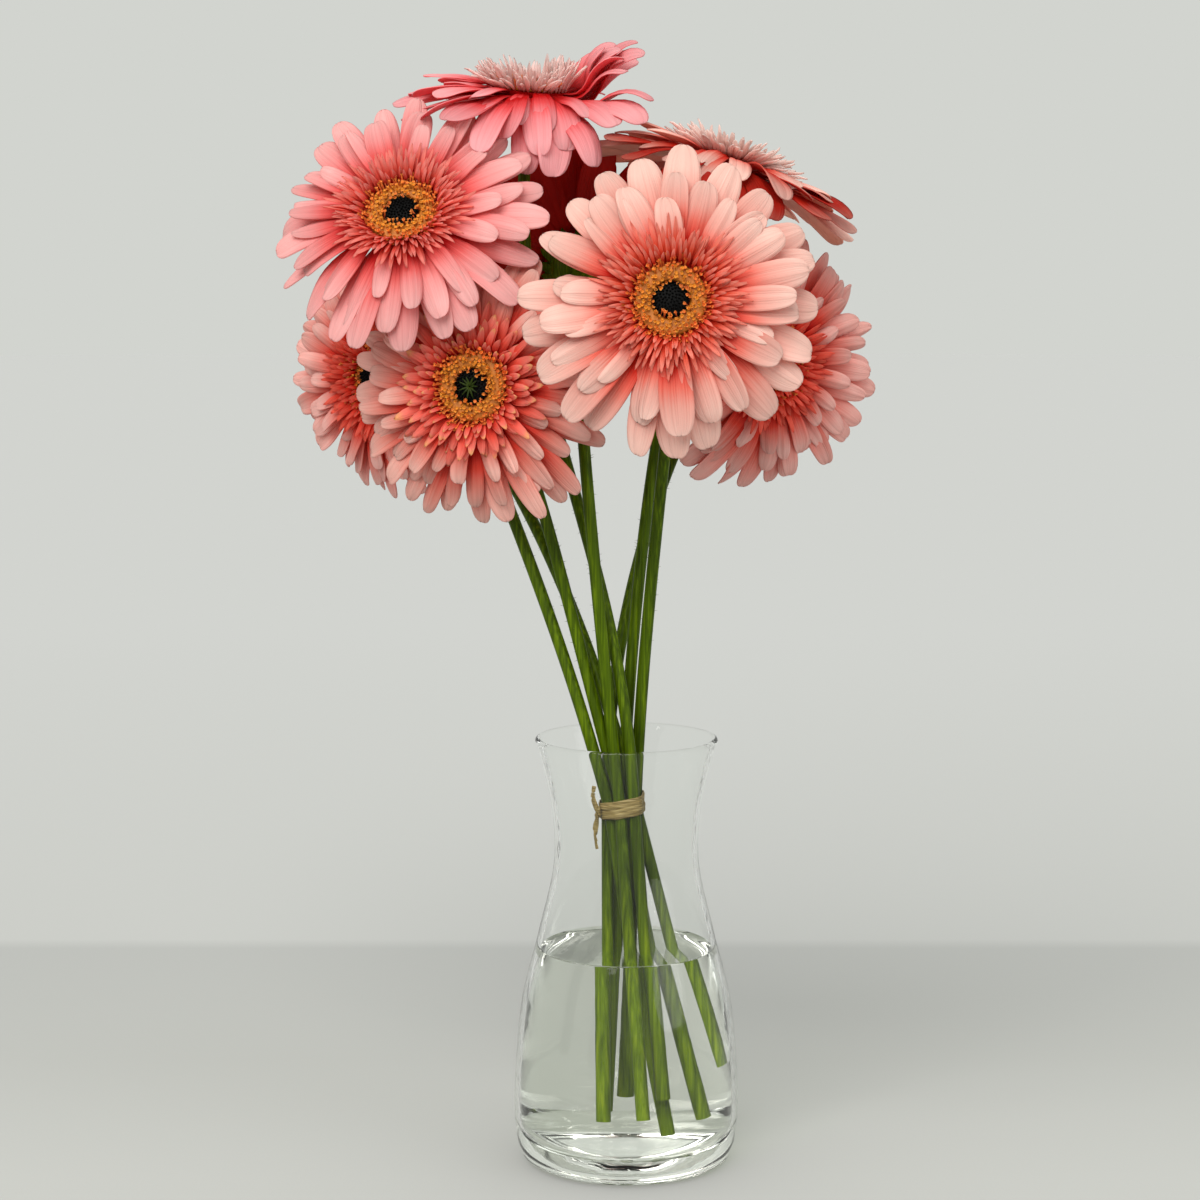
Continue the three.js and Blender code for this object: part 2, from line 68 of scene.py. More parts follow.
def colour(text):
    channels = [int(text[i:i + 2], 16) / 255 for i in (1, 3, 5)]
    linear = [c / 12.92 if c <= 0.04045 else ((c + 0.055) / 1.055) ** 2.4 for c in channels]
    return (*linear, 1)


def setStage():
    scene = bpy.context.scene
    scene.view_settings.view_transform = "Standard"
    scene.cycles.max_bounces = 32  # light turns many times inside the glass
    scene.cycles.transmission_bounces = 32
    scene.cycles.caustics_refractive = False  # the lamps already shine straight through the glass
    scene.cycles.caustics_reflective = False
    bpy.ops.object.camera_add(location=view["place"], rotation=(math.radians(90 - view["pitch"]), 0, 0))
    camera = bpy.context.object
    camera.data.lens = view["lens"]
    camera.data.sensor_width = view["sensor"]
    camera.data.clip_end = 50
    scene.camera = camera
    world = bpy.data.worlds.new("studio")
    world.use_nodes = True
    sky = world.node_tree.nodes["Background"]
    sky.inputs["Color"].default_value = colour(studio["sky"])
    sky.inputs["Strength"].default_value = studio["skyStrength"]
    scene.world = world
    for direction, strength, width, tone in studio["suns"]:
        bpy.ops.object.light_add(type="SUN", location=(0, 0, 2))
        sun = bpy.context.object
        sun.rotation_euler = Vector(direction).to_track_quat("-Z", "Y").to_euler()
        sun.data.energy = strength
        sun.data.angle = math.radians(width)
        sun.data.color = colour(tone)[:3]
    bpy.ops.mesh.primitive_circle_add(vertices=96, radius=studio["floorRadius"], fill_type="NGON")
    floor = bpy.context.object
    floor.name = "floor"
    floor.data.materials.append(floorMaterial())
    print("stage set")


# Rows of petals: height is below the disc, rise and fall are angles at the root and along the petal.
petalRows = [
    {"count": 21, "turn": 0.0, "root": 13, "height": -4.1, "length": 46.2, "width": 13.8, "rise": 5, "fall": 24},
    {"count": 18, "turn": 0.5, "root": 13, "height": -2.7, "length": 40.0, "width": 12.4, "rise": 12, "fall": 24},
    {"count": 13, "turn": 0.2, "root": 13, "height": -1.3, "length": 35.0, "width": 9.6, "rise": 14, "fall": 20},
]
# rows of the heads with more and narrower petals
slenderRows = [
    {"count": 28, "turn": 0.0, "root": 13, "height": -4.1, "length": 46.2, "width": 9.8, "rise": 5, "fall": 24},
    {"count": 26, "turn": 0.5, "root": 13, "height": -2.7, "length": 40.5, "width": 9.2, "rise": 12, "fall": 24},
    {"count": 22, "turn": 0.2, "root": 13, "height": -1.3, "length": 32.0, "width": 7.4, "rise": 18, "fall": 20},
]
hub = {"radius": 16.005, "top": -0.3, "bottom": -5.2}
# the cup: its steps are shares of its radius and how far up each stands
calyx = {
    "top": -5.5, "depth": 15, "radius": 13,
    "steps": [(0.45, 0.12), (0.7, 0.3), (0.86, 0.6), (0.9, 0.9), (0.7, 1)],
}

# How a flower's parts differ: the colour of its petals from root to tip and of their backs, and the
# rows of narrow florets inside them, as count, start radius, length, width and rise.
paleBloom = {
    "petal": ["#ee301c", "#fb7c6a", "#fab8aa", "#fcdace"],
    "back": "#e89a86",
    "floretBack": "#fb8068",
    "floret": ["#ea2814", "#ff6646", "#ffa692"],
    "rows": [
        (58, 15.2, 16.5, 1.9, 14), (58, 15.0, 13.5, 1.8, 23), (54, 14.8, 10.5, 1.6, 34),
        (48, 14.5, 7.5, 1.4, 48),
    ],
}
pinkBloom = {
    "slim": 0.88,
    "petal": ["#e42a2a", "#f86e6b", "#fba4a3", "#fcc5c3"],
    "back": "#ec8a80",
    "floretBack": "#f87e6e",
    "floret": ["#e62a1e", "#ff6a58", "#ffa498"],
    "rows": [
        (60, 15.2, 15.5, 1.8, 24), (58, 15.0, 13.0, 1.7, 34), (54, 14.8, 10.5, 1.5, 44),
        (46, 14.5, 7.0, 1.4, 56),
    ],
}
scaledBloom = {
    "petals": slenderRows,
    "petal": ["#de1e14", "#f2503e", "#f49282", "#f9cabe"],
    "back": "#e88a78",
    "floretBack": "#f4806e",
    "floret": ["#e22014", "#fb5e4a", "#ff9484", "#fbc488"],
    "rows": [
        (32, 15.4, 17.5, 4.2, 18), (32, 15.2, 14.0, 3.8, 25), (32, 14.9, 10.5, 3.0, 34),
        (34, 14.6, 7.0, 2.0, 46),
    ],
}
rosyBloom = {
    "slim": 1.05,
    "petal": ["#dc1418", "#f6585c", "#f9979c", "#fbbcc0"],
    "back": "#ee686c",
    "floretBack": "#ffdcd6",
    "floret": ["#ffaaa0", "#ffdcd6", "#fff2ee"],
    "rows": [
        (48, 15.2, 13.0, 1.9, 30), (46, 15.0, 12.0, 1.8, 44), (42, 14.8, 11.0, 1.7, 58),
        (36, 14.5, 9.0, 1.6, 72),
    ],
}
duskyBloom = {
    "petals": slenderRows,
    "petal": ["#dc160c", "#f24632", "#f88e80", "#fccbc2"],
    "back": "#dc6854",
    "floretBack": "#fa5c46",
    "floret": ["#e01c0e", "#fc4a32", "#ff7c66"],
    "rows": [
        (50, 15.2, 14.0, 2.3, 18), (50, 14.6, 12.0, 2.2, 30), (44, 12.6, 9.5, 2.0, 48),
        (36, 10.4, 7.0, 1.8, 66), (26, 8.4, 5.5, 1.6, 80),
    ],
}
# painted shade: the bloom at the back, behind the others, is given darker and deeper reds for the shade it stands in
shadedBloom = {
    "petal": ["#c40804", "#d81c10", "#e03420", "#e86450"],
    "back": "#d01a0c",
    "floret": ["#d0180c", "#f44a34", "#f87c66"],
    "rows": [
        (50, 15.2, 14.0, 2.6, 18), (50, 15.0, 11.0, 2.5, 26), (46, 14.8, 8.5, 2.3, 34),
        (40, 14.5, 6.0, 2.0, 45),
    ],
}

# the bloom whose petals towards the viewer are painted darker and redder, front and back,
# as painted shade under its front
warmBloom = {
    **paleBloom,
    "back": "#fabca8",
    "floretBack": "#ffe4dc",
    "floret": ["#ffb4a4", "#ffe0d8", "#fff6f2"],
    "rows": [
        (50, 15.2, 15.5, 2.6, 20), (50, 15.0, 13.0, 2.4, 34), (46, 14.8, 11.0, 2.2, 50),
        (40, 14.5, 8.5, 2.0, 66),
    ],
}

# The flowers: eye is the middle of the face, slot the place in the tie, lean the stem's way out of the tie,
# turn the reach of its curve into the head, and paintedShade how much darker and redder each row is
# painted towards the viewer, as painted shade. A bend lifts petals or lets them droop round one side: its
# way, spread, lift and droop.
flowers = [
    {
        "name": "front_right", "kind": paleBloom, "seed": 101, "eye": (16.1, -76, 362.6),
        "azimuth": -5, "elevation": 12, "size": 1, "slot": (5.5, 5.3), "lean": (0.03, -0.06),
        "turn": 0.3, "foot": (0, 13, 26),
        "bends": [((0.3, 0, -1), 110, -2, 9), ((0, 0, 1), 70, 4, -6)],
    },
    {
        "name": "front_left", "kind": scaledBloom, "seed": 118, "eye": (-61.6, -38, 327.3),
        "azimuth": -18, "elevation": 6, "size": 0.97, "slot": (-0.5, 0), "lean": (-0.27, -0.04),
        "turn": 0.22, "foot": (24, 3.5, 18),
        "bends": [((-0.4, 0, -1), 130, -3, 16)],
    },
    {
        "name": "upper_left", "kind": pinkBloom, "seed": 135, "eye": (-89.9, -28, 396.1),
        "azimuth": -8, "elevation": 38, "size": 1, "slot": (-5.7, -2.8), "lean": (-0.26, 0.02),
        "turn": 0.3, "foot": (13.5, -4.5, 14),
        "bends": [
            ((0, 0, 1), 110, 9, 0), ((0, -0.6, -1), 110, -5, 22), ((-1, 0, 0), 70, 0, 20), ((1, 0, 0), 50, 0, -12),
        ],
    },
    {
        "name": "top", "kind": rosyBloom, "seed": 152, "eye": (-40.0, 31, 447.4),
        "azimuth": 30, "elevation": 80, "size": 0.98, "slot": (4.7, -6.6), "lean": (-0.05, 0.02),
        "turn": 0.4, "foot": (12.5, -11, 30),
        "bends": [((0.3, -1, 0), 72, -10, 60), ((1, 0.1, 0), 82, 142, 112), ((-1, 0, 0), 75, 0, 8)],
    },
    {
        "name": "upper_right", "kind": warmBloom, "seed": 169, "eye": (43.1, 22, 416.5),
        "azimuth": 104, "elevation": 69, "size": 1, "slot": (-0.2, 6.4), "lean": (0.05, 0.04),
        "paintedShade": (-2.6, -1.4, 0),
        "turn": 0.25, "foot": (-6.5, 3, 22),
        "bends": [((1, -0.2, -0.4), 80, 0, 6), ((-0.2, -1, 0), 70, -6, 38), ((-1, 0.4, 0.4), 70, 0, 16)],
    },
    {
        "name": "right", "kind": duskyBloom, "seed": 186, "eye": (59.7, 6, 334.4),
        "azimuth": 36, "elevation": 0, "size": 0.95, "slot": (-6.4, 3.2), "lean": (-0.03, 0.14),
        "turn": 0.18, "foot": (-7.5, -7.5, 20),
        "bends": [((0, 0, -1), 100, -4, 14), ((1, 0, 0), 80, 4, -18), ((-1, 0.3, -0.3), 80, -8, 18)],
    },
    {
        "name": "left", "kind": duskyBloom, "seed": 203, "eye": (-106.7, 42, 326.8),
        "azimuth": -42, "elevation": 0, "size": 0.88, "slot": (5.3, -0.7), "lean": (-0.23, -0.04),
        "turn": 0.2, "foot": (32, 1, 40),
        "bends": [((0, 0, -1), 100, -4, 14), ((-1, 0, 0), 80, 2, -14), ((1, 0, 0.4), 80, -8, 20)],
    },
    {
        "name": "back", "kind": shadedBloom, "seed": 220, "eye": (-21.3, 66.5, 377.1),
        "azimuth": 180, "elevation": 22, "size": 0.98, "slot": (-1.2, -6.7), "lean": (-0.11, 0.11),
        "turn": 0.42, "foot": (6, -22, 24),
        "bends": [((0, 0, -1), 110, -4, 20)],
    },
]


def facing(flower):
    azimuth, elevation = math.radians(flower["azimuth"]), math.radians(flower["elevation"])
    level = math.cos(elevation)
    return Vector((math.sin(azimuth) * level, -math.cos(azimuth) * level, math.sin(elevation)))


# right, up and out of the head, for someone who looks the flower in the face
def headAxes(flower):
    out = facing(flower)
    right = Vector((0, 0, 1)).cross(out).normalized()
    return right, out.cross(right), out


# moves points of a head, in mm with its face up +Z, to their place in the bunch, in metres
def toBunch(flower, points):
    axes = np.array([list(axis) for axis in headAxes(flower)])
    return (points @ axes + np.array(flower["eye"])) * mm


# how far the bends of a flower lift its petal at an angle of the head, and let it droop
def bendAt(flower, phi):
    right, up, out = headAxes(flower)
    lift = droop = 0
    for towards, spread, bendLift, bendDroop in flower["bends"]:
        direction = Vector(towards)
        middle = math.atan2(direction.dot(up), direction.dot(right))
        off = abs((phi - middle + math.pi) % (2 * math.pi) - math.pi)
        share = math.cos(min(1, off / math.radians(spread)) * math.pi / 2) ** 2
        lift += bendLift * share
        droop += bendDroop * share
    return lift, droop


# models that are copied, and how copies are placed
def deselectAll():
    bpy.ops.object.select_all(action="DESELECT")


def startEdit():
    bpy.ops.object.mode_set(mode="EDIT")
    bpy.ops.mesh.select_all(action="SELECT")


def endEdit():
    bpy.ops.object.mode_set(mode="OBJECT")
    bpy.ops.object.shade_smooth()


def moveBy(x, y, z):
    bpy.ops.transform.translate(value=(x, y, z))


def scaleBy(x, y, z, centre=(0, 0, 0)):
    bpy.ops.transform.resize(value=(x, y, z), center_override=centre)


def extrudeBy(x, y, z):
    bpy.ops.mesh.extrude_region_move(TRANSFORM_OT_translate={"value": (x, y, z)})


def turnFacesOut():
    bpy.ops.mesh.select_all(action="SELECT")
    bpy.ops.mesh.normals_make_consistent(inside=False)


def selectVertices(ob, test):
    mesh = bmesh.from_edit_mesh(ob.data)
    for v in mesh.verts:
        v.select_set(test(v.co))
    mesh.select_flush_mode()
    bmesh.update_edit_mesh(ob.data)


def readPoints(ob):
    points = np.zeros(len(ob.data.vertices) * 3, np.float32)
    ob.data.vertices.foreach_get("co", points)
    return points.reshape(-1, 3).astype(float)


def writePoints(ob, points):
    ob.data.vertices.foreach_set("co", np.ascontiguousarray(points, np.float32).ravel())


# the two values that the materials read at each point: one for a back or a height, one for a tint
def addLayers(ob, under=0, tint=0):
    for name, value in (("under", under), ("tint", tint)):
        layer = ob.data.attributes.new(name, "FLOAT", "POINT")
        layer.data.foreach_set("value", np.full(len(ob.data.vertices), value, np.float32))


# a body modelled with its head's face up goes to its place in the bunch
def settleBody(flower, body, under=0, tint=0):
    addLayers(body, under, tint)
    writePoints(body, toBunch(flower, readPoints(body)))
    return body


# A copy of a model with its own mesh, its points moved, and one tint all over.
def placeCopy(model, points, tint):
    copy = model.copy()
    copy.data = model.data.copy()
    writePoints(copy, points)
    copy.data.attributes["tint"].data.foreach_set("value", np.full(len(points), tint, np.float32))
    bpy.context.collection.objects.link(copy)
    return copy


def joinAs(name, copies, material):
    deselectAll()
    for copy in copies:
        copy.select_set(True)
    bpy.context.view_layer.objects.active = copies[0]
    bpy.ops.object.join()
    piece = bpy.context.object
    piece.name = name
    piece.data.name = name
    piece.data.materials.clear()
    piece.data.materials.append(material)
    return piece


def keepPiece(piece, node):
    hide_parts(node)
    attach(piece, "root")


# joins the copies of a flower's part, which stands for the node of that part
def keepPart(flower, part, copies, material):
    piece = joinAs(f"{flower['name']}{part.title()}", copies, material)
    node = f"{part}_{flower['name']}"
    keepPiece(piece, node)


# Every part of a flower draws from a row of random numbers of its own, so that one can change alone.
seedSteps = {"petals": 0, "florets": 500, "disc": 900, "eye": 1300, "star": 1500, "bracts": 1700, "hairs": 1900}


def drawFor(flower, part):
    return random.Random(flower["seed"] + seedSteps[part])


# a value from each range, drawn in the order of the ranges
def drawEach(draw, ranges):
    return {key: draw.uniform(*span) for key, span in ranges.items()}


def shareAcross(co, look):
    places, widths = zip(*look["outline"])
    return co.x / float(np.interp(co.y, places, widths))


# a map that runs across and along the strap, whatever its width
def mapStrap(strap, look):
    layer = strap.data.uv_layers[0]
    layer.name = "strapMap"
    for loop in strap.data.loops:
        co = strap.data.vertices[loop.vertex_index].co
        layer.data[loop.index].uv = (0.5 + 0.5 * shareAcross(co, look), co.y)


# A strap in shares: X across from -1 to 1, Y along from 0 to 1, Z its thickness and relief in mm.
def modelStrap(name, look):
    rows = len(look["outline"]) - 1
    bpy.ops.mesh.primitive_grid_add(x_subdivisions=look["across"], y_subdivisions=rows, size=2)
    strap = bpy.context.object
    strap.name = name
    startEdit()
    moveBy(0, 1, 0)
    scaleBy(1, 0.5, 1)
    # from the tip back, each row goes to its place and gets its width
    for row in range(rows, -1, -1):
        place, width = look["outline"][row]
        selectVertices(strap, lambda co: abs(co.y - row / rows) < 0.2 / rows)
        moveBy(0, place - row / rows, 0)
        scaleBy(width, 1, 1, (0, place, 0))
    bpy.ops.object.mode_set(mode="OBJECT")
    mapStrap(strap, look)
    solid = strap.modifiers.new("thickness", "SOLIDIFY")
    solid.thickness = look["thickness"]
    solid.offset = 0
    bpy.ops.object.modifier_apply(modifier=solid.name)
    addLayers(strap, under=readPoints(strap)[:, 2] < 0)
    startEdit()
    for place, reach, depth in look["grooves"]:
        selectVertices(strap, lambda co: abs(abs(shareAcross(co, look)) - place) < reach)
        moveBy(0, 0, -depth)
    endEdit()
    return strap, readPoints(strap)


# what a strap has where its piece says nothing else
plainStrap = {"lift": 0, "roll": 0, "twist": 0, "cup": 0, "fold": 0, "wave": 0, "phase": 0, "curl": 0}


# bends a strap model along its line, at its angle of the head
def bendStrap(points, strap):
    steps = np.linspace(0, 1, 41)
    middle = (steps[1:] + steps[:-1]) / 2
    angles = strap["rise"] + strap["lift"] * np.clip((middle - 0.12) * 3, 0, 1) - strap["fall"] * middle
    angles = np.radians(angles - strap["curl"] * np.clip((middle - 0.72) / 0.28, 0, 1) ** 2)
    reach = np.concatenate([[0], np.cumsum(np.cos(angles))]) * strap["length"] / 40
    rise = np.concatenate([[0], np.cumsum(np.sin(angles))]) * strap["length"] / 40
    s = points[:, 1]
    r = strap["root"] + np.interp(s, steps, reach)
    z = strap["height"] + np.interp(s, steps, rise)
    angle = np.interp(s, middle, angles)
    side = strap["sway"] * s ** 2
    outwards = np.array([math.cos(strap["phi"]), math.sin(strap["phi"]), 0])
    across = np.array([-math.sin(strap["phi"]), math.cos(strap["phi"]), 0])
    normal = np.outer(-np.sin(angle), outwards) + np.outer(np.cos(angle), [0, 0, 1])
    tilt = np.radians(strap["roll"] * np.minimum(1, 2 * s) + strap["twist"] * s)[:, None]
    sideways = across * np.cos(tilt) + normal * np.sin(tilt)
    over = normal * np.cos(tilt) - across * np.sin(tilt)
    x = points[:, 0] * strap["width"] / 2
    relief = points[:, 2] + strap["cup"] * points[:, 0] ** 2 * np.minimum(1, s * 2.5)
    relief += strap["wave"] * points[:, 0] * s * np.sin(strap["phase"] + 8 * s)
    relief += strap["fold"] * np.abs(points[:, 0]) * np.minimum(1, s * 2)
    centre = np.outer(r, outwards) + np.outer(z, [0, 0, 1]) + np.outer(side, across)
    return centre + sideways * x[:, None] + over * relief[:, None]


def strapCopy(flower, model, strap, tint):
    source, shape = model
    return placeCopy(source, toBunch(flower, bendStrap(shape, {**plainStrap, **strap})), tint)


# painted shade: how much darker and redder a petal of a row is painted on the side of its head
# that looks at the viewer
def paintedShadeAt(flower, phi, rank):
    right, up, out = headAxes(flower)
    nearness = -(right * math.cos(phi) + up * math.sin(phi)).y
    return flower.get("paintedShade", (0, 0, 0))[rank] * min(1, max(0, nearness * 2.2 - 0.2))


petalLook = {
    "across": 10,
    "thickness": 0.4,
    # place along and share of the width of each row from root to tip
    "outline": [
        (0, 0.3), (0.08, 0.38), (0.16, 0.52), (0.25, 0.68), (0.35, 0.83), (0.45, 0.93), (0.55, 0.99), (0.64, 1),
        (0.72, 0.99), (0.8, 0.95), (0.87, 0.87), (0.925, 0.76), (0.962, 0.62), (0.986, 0.45), (1, 0.22),
    ],
    # each groove's share across, half its reach and its depth
    "grooves": [(0.4, 0.05, 0.3)],
    "steps": (-0.1, 0.55),  # every other petal of a row lies higher
    "roll": 9,
    "shortened": 0.12,  # how much shorter petals can be with each row inwards
    # how petals differ: turn in shares of their spacing, length and width in shares, angles in degrees
    "varies": {
        "turn": (-0.25, 0.25), "length": (-0.07, 0.05), "shortened": (0, 1), "width": (-0.14, 0.1),
        "rise": (-2.5, 2.5), "fall": (-8, 8), "roll": (-8, 8), "twist": (-20, 20), "sway": (-3, 3),
        "cup": (-2.2, 1.0), "fold": (-1.6, 0.9), "wave": (0, 1.1), "phase": (0, 6.28), "curl": (-8, 22),
        "tint": (0, 1),
    },
}


def petalPiece(flower, model):
    draw = drawFor(flower, "petals")
    look, kind = petalLook, flower["kind"]
    copies = []
    for rank, row in enumerate(kind.get("petals", petalRows)):
        for k in range(row["count"]):
            drawn = drawEach(draw, look["varies"])
            phi = (k + row["turn"] + drawn["turn"]) / row["count"] * 2 * math.pi
            lift, droop = bendAt(flower, phi)
            shortened = 1 - look["shortened"] * rank * drawn["shortened"]
            copies.append(strapCopy(flower, model, {
                **drawn,
                "phi": phi,
                "root": row["root"],
                "height": row["height"] + look["steps"][k % 2],
                "length": row["length"] * flower["size"] * (1 + drawn["length"]) * shortened,
                "width": row["width"] * kind.get("slim", 1) * (1 + drawn["width"]),
                "rise": row["rise"] + drawn["rise"],
                "lift": lift,
                "fall": row["fall"] + droop + drawn["fall"],
                "roll": look["roll"] + drawn["roll"],
            }, drawn["tint"] + paintedShadeAt(flower, phi, rank)))
    copies.append(hubCopy(flower))
    keepPart(flower, "petals", copies, petalMaterial(flower))


# the disc that the petals grow from
def hubCopy(flower):
    bpy.ops.mesh.primitive_cylinder_add(vertices=24, radius=hub["radius"], depth=hub["top"] - hub["bottom"],
                                        location=(0, 0, (hub["top"] + hub["bottom"]) / 2))
    body = bpy.context.object
    bpy.ops.object.transform_apply(location=True, rotation=False, scale=False)
    # all of it has the colour of a petal's root
    body.data.uv_layers[0].name = "strapMap"
    body.data.uv_layers[0].data.foreach_set("uv", np.tile([0.5, 0.02], len(body.data.loops)))
    bpy.ops.object.mode_set(mode="EDIT")
    selectVertices(body, lambda co: co.z < hub["bottom"] + 0.1)
    scaleBy(0.8, 0.8, 1)
    bpy.ops.object.mode_set(mode="OBJECT")
    return settleBody(flower, body)


floretLook = {
    "across": 2,
    "thickness": 0.32,
    "outline": [(0, 0.5), (0.25, 0.85), (0.5, 1), (0.75, 0.85), (0.92, 0.48), (1, 0.08)],
    "grooves": [(0.0, 0.1, 0.3)],
    "height": 0.1,
    "step": 0.5,  # how much higher each row inwards stands
    "mostLift": 40,  # so that a lifted side doesn't fold over the disc
    "varies": {
        "turn": (-0.3, 0.3), "root": (-0.3, 0.4), "length": (-0.3, 0.14), "width": (-0.12, 0.12), "rise": (-6, 6),
        "fall": (-4, 26), "roll": (-25, 25), "twist": (-20, 20), "sway": (-1.2, 1.2), "cup": (0.1, 0.6),
        "wave": (0, 0.3), "phase": (0, 6.28), "curl": (-45, 35), "tint": (0, 1),
    },
}


def floretPiece(flower, model):
    draw = drawFor(flower, "florets")
    look = floretLook
    copies = []
    for rank, (count, start, length, width, rise) in enumerate(flower["kind"]["rows"]):
        for k in range(count):
            drawn = drawEach(draw, look["varies"])
            phi = (k + 0.5 * (rank % 2) + drawn["turn"]) / count * 2 * math.pi
            lift, droop = bendAt(flower, phi)
            copies.append(strapCopy(flower, model, {
                **drawn,
                "phi": phi,
                "root": start + drawn["root"],
                "height": look["height"] + rank * look["step"],
                "length": length * (1 + drawn["length"]),
                "width": width * (1 + drawn["width"]),
                "rise": rise + drawn["rise"] + min(look["mostLift"], max(0, lift)),
            }, drawn["tint"]))
    keepPart(flower, "florets", copies, floretMaterial(flower))


discLook = {
    # rows of tubes: count, radius, height, lean outwards
    "rows": [
        (26, 7.4, 1.0, -16), (32, 8.6, 0.8, -4), (38, 9.8, 0.85, 6), (42, 11.0, 0.95, 14), (46, 12.1, 1.05, 22),
        (48, 13.2, 1.15, 30), (50, 14.1, 1.25, 38),
    ],
    "turn": 0.37,  # how far each row is turned against the one before, in shares of the spacing
    "height": 0.4,
    "varies": {
        "turn": (-0.45, 0.45), "size": (0.75, 1.2), "radius": (-0.7, 0.7), "lean": (-18, 18), "spin": (0, 6),
        "tall": (0.45, 1.4), "tint": (0, 1),
    },
    # one tube: its sides, radius, height, how far its teeth stand up, and its steps of height and width
    "tube": {
        "sides": 10, "radius": 0.44, "height": 3.0, "tooth": 0.35,
        "steps": [(0.6, 1.1), (0.3, 1.25), (0.1, 1.45)],
    },
    "ring": {"radius": 10.7, "thick": 3.4, "flat": 0.25, "height": 0.5, "under": 0.3, "tint": 0.35},
}


# A small tube with a five-toothed mouth, standing on the origin.
def modelTube():
    look = discLook["tube"]
    bpy.ops.mesh.primitive_circle_add(vertices=look["sides"], radius=look["radius"] * 0.7)
    tube = bpy.context.object
    tube.name = "tubeModel"
    startEdit()
    for rise, scale in look["steps"]:
        extrudeBy(0, 0, look["height"] * rise)
        scaleBy(scale, scale, 1)

    def atMouth(co):
        return co.z > look["height"] * 0.95

    # every other point of the mouth is a tooth
    selectVertices(tube, lambda co: atMouth(co)
                   and int(round(math.atan2(co.y, co.x) / math.pi * look["sides"] / 2)) % 2 == 0)
    moveBy(0, 0, look["tooth"])
    scaleBy(1.3, 1.3, 1)
    selectVertices(tube, atMouth)
    extrudeBy(0, 0, -look["height"] * 0.25)
    scaleBy(0.45, 0.45, 1)
    bpy.ops.mesh.edge_face_add()
    turnFacesOut()
    endEdit()
    points = readPoints(tube)
    addLayers(tube, under=points[:, 2] / points[:, 2].max())
    return tube, points


# Stands a copy's points at a radius and angle of the head, leaning outwards by an angle in degrees.
def stand(points, phi, radius, height, lean, turn, scale):
    turned = Matrix.Rotation(phi, 3, "Z") @ Matrix.Rotation(math.radians(lean), 3, "Y") @ Matrix.Rotation(turn, 3, "Z")
    moved = (points * np.array(scale)) @ np.array(turned).T
    return moved + np.array([math.cos(phi) * radius, math.sin(phi) * radius, height])


def discPiece(flower, model, material):
    draw = drawFor(flower, "disc")
    tube, shape = model
    rows = discLook["rows"]
    copies = []
    for rank, (count, radius, tall, lean) in enumerate(rows):
        for k in range(count):
            drawn = drawEach(draw, discLook["varies"])
            phi = (k + discLook["turn"] * rank + drawn["turn"]) / count * 2 * math.pi
            size = (drawn["size"], drawn["size"], tall * drawn["tall"])
            placed = stand(shape, phi, radius + drawn["radius"], discLook["height"], lean + drawn["lean"],
                           drawn["spin"], size)
            copies.append(placeCopy(tube, toBunch(flower, placed), (rank + drawn["tint"]) / len(rows)))
    copies.append(ringCopy(flower))
    keepPart(flower, "disc", copies, material)


# the ring that the tubes stand in
def ringCopy(flower):
    look = discLook["ring"]
    bpy.ops.mesh.primitive_torus_add(major_segments=32, minor_segments=8, major_radius=look["radius"],
                                     minor_radius=look["thick"])
    ring = bpy.context.object
    startEdit()
    scaleBy(1, 1, look["flat"])
    moveBy(0, 0, look["height"])
    endEdit()
    return settleBody(flower, ring, look["under"], look["tint"])


eyeLook = {
    "buds": 90, "radius": 6.7, "dome": 1.3, "height": 0.9, "lean": 22, "size": (0.8, 1.05),
    "cushion": {"radius": 7.0, "height": 1.5, "up": 0.6},
}


# A closed bud, standing on the origin.
def modelBud():
    bpy.ops.mesh.primitive_uv_sphere_add(segments=7, ring_count=4, radius=1)
    bud = bpy.context.object
    bud.name = "budModel"
    startEdit()
    bpy.ops.transform.resize(value=(0.62, 0.62, 1.3))
    selectVertices(bud, lambda co: co.z > 1.2)
    moveBy(0, 0, 0.35)
    endEdit()
    bud.data.uv_layers[0].name = "strapMap"
    addLayers(bud)
    return bud, readPoints(bud)


def eyePiece(flower, model, material):
    draw = drawFor(flower, "eye")
    bud, shape = model
    look = eyeLook
    copies = []
    for k in range(look["buds"]):
        share = math.sqrt((k + 0.5) / look["buds"])
        phi = k * math.pi * (3 - math.sqrt(5))
        height = look["height"] + look["dome"] * (1 - share ** 2)
        size = draw.uniform(*look["size"]) * (0.8 + 0.25 * share)
        placed = stand(shape, phi, share * look["radius"], height, look["lean"] * share, 0, (size, size, size))
        copies.append(placeCopy(bud, toBunch(flower, placed), draw.random()))
    copies.append(cushionCopy(flower))
    keepPart(flower, "eye", copies, material)


# the dark cushion that the buds of the eye stand on
def cushionCopy(flower):
    look = eyeLook["cushion"]
    bpy.ops.mesh.primitive_uv_sphere_add(segments=24, ring_count=12, radius=look["radius"])
    cushion = bpy.context.object
    startEdit()
    scaleBy(1, 1, look["height"] / look["radius"])
    selectVertices(cushion, lambda co: co.z < 0)
    scaleBy(1, 1, 0.3)
    bpy.ops.mesh.select_all(action="SELECT")
    moveBy(0, 0, look["up"])
    endEdit()
    return settleBody(flower, cushion)


# the green star of young bracts that covers one flower's eye
starLook = {
    "rays": 11, "root": 0.5, "height": 2.6, "length": 4.6, "width": 0.8, "cup": 0.3,
    "varies": {
        "turn": (-0.3, 0.3), "length": (0.7, 1.15), "rise": (8, 30), "fall": (10, 40), "roll": (-20, 20),
        "sway": (-0.8, 0.8), "tint": (0, 1),
    },
}


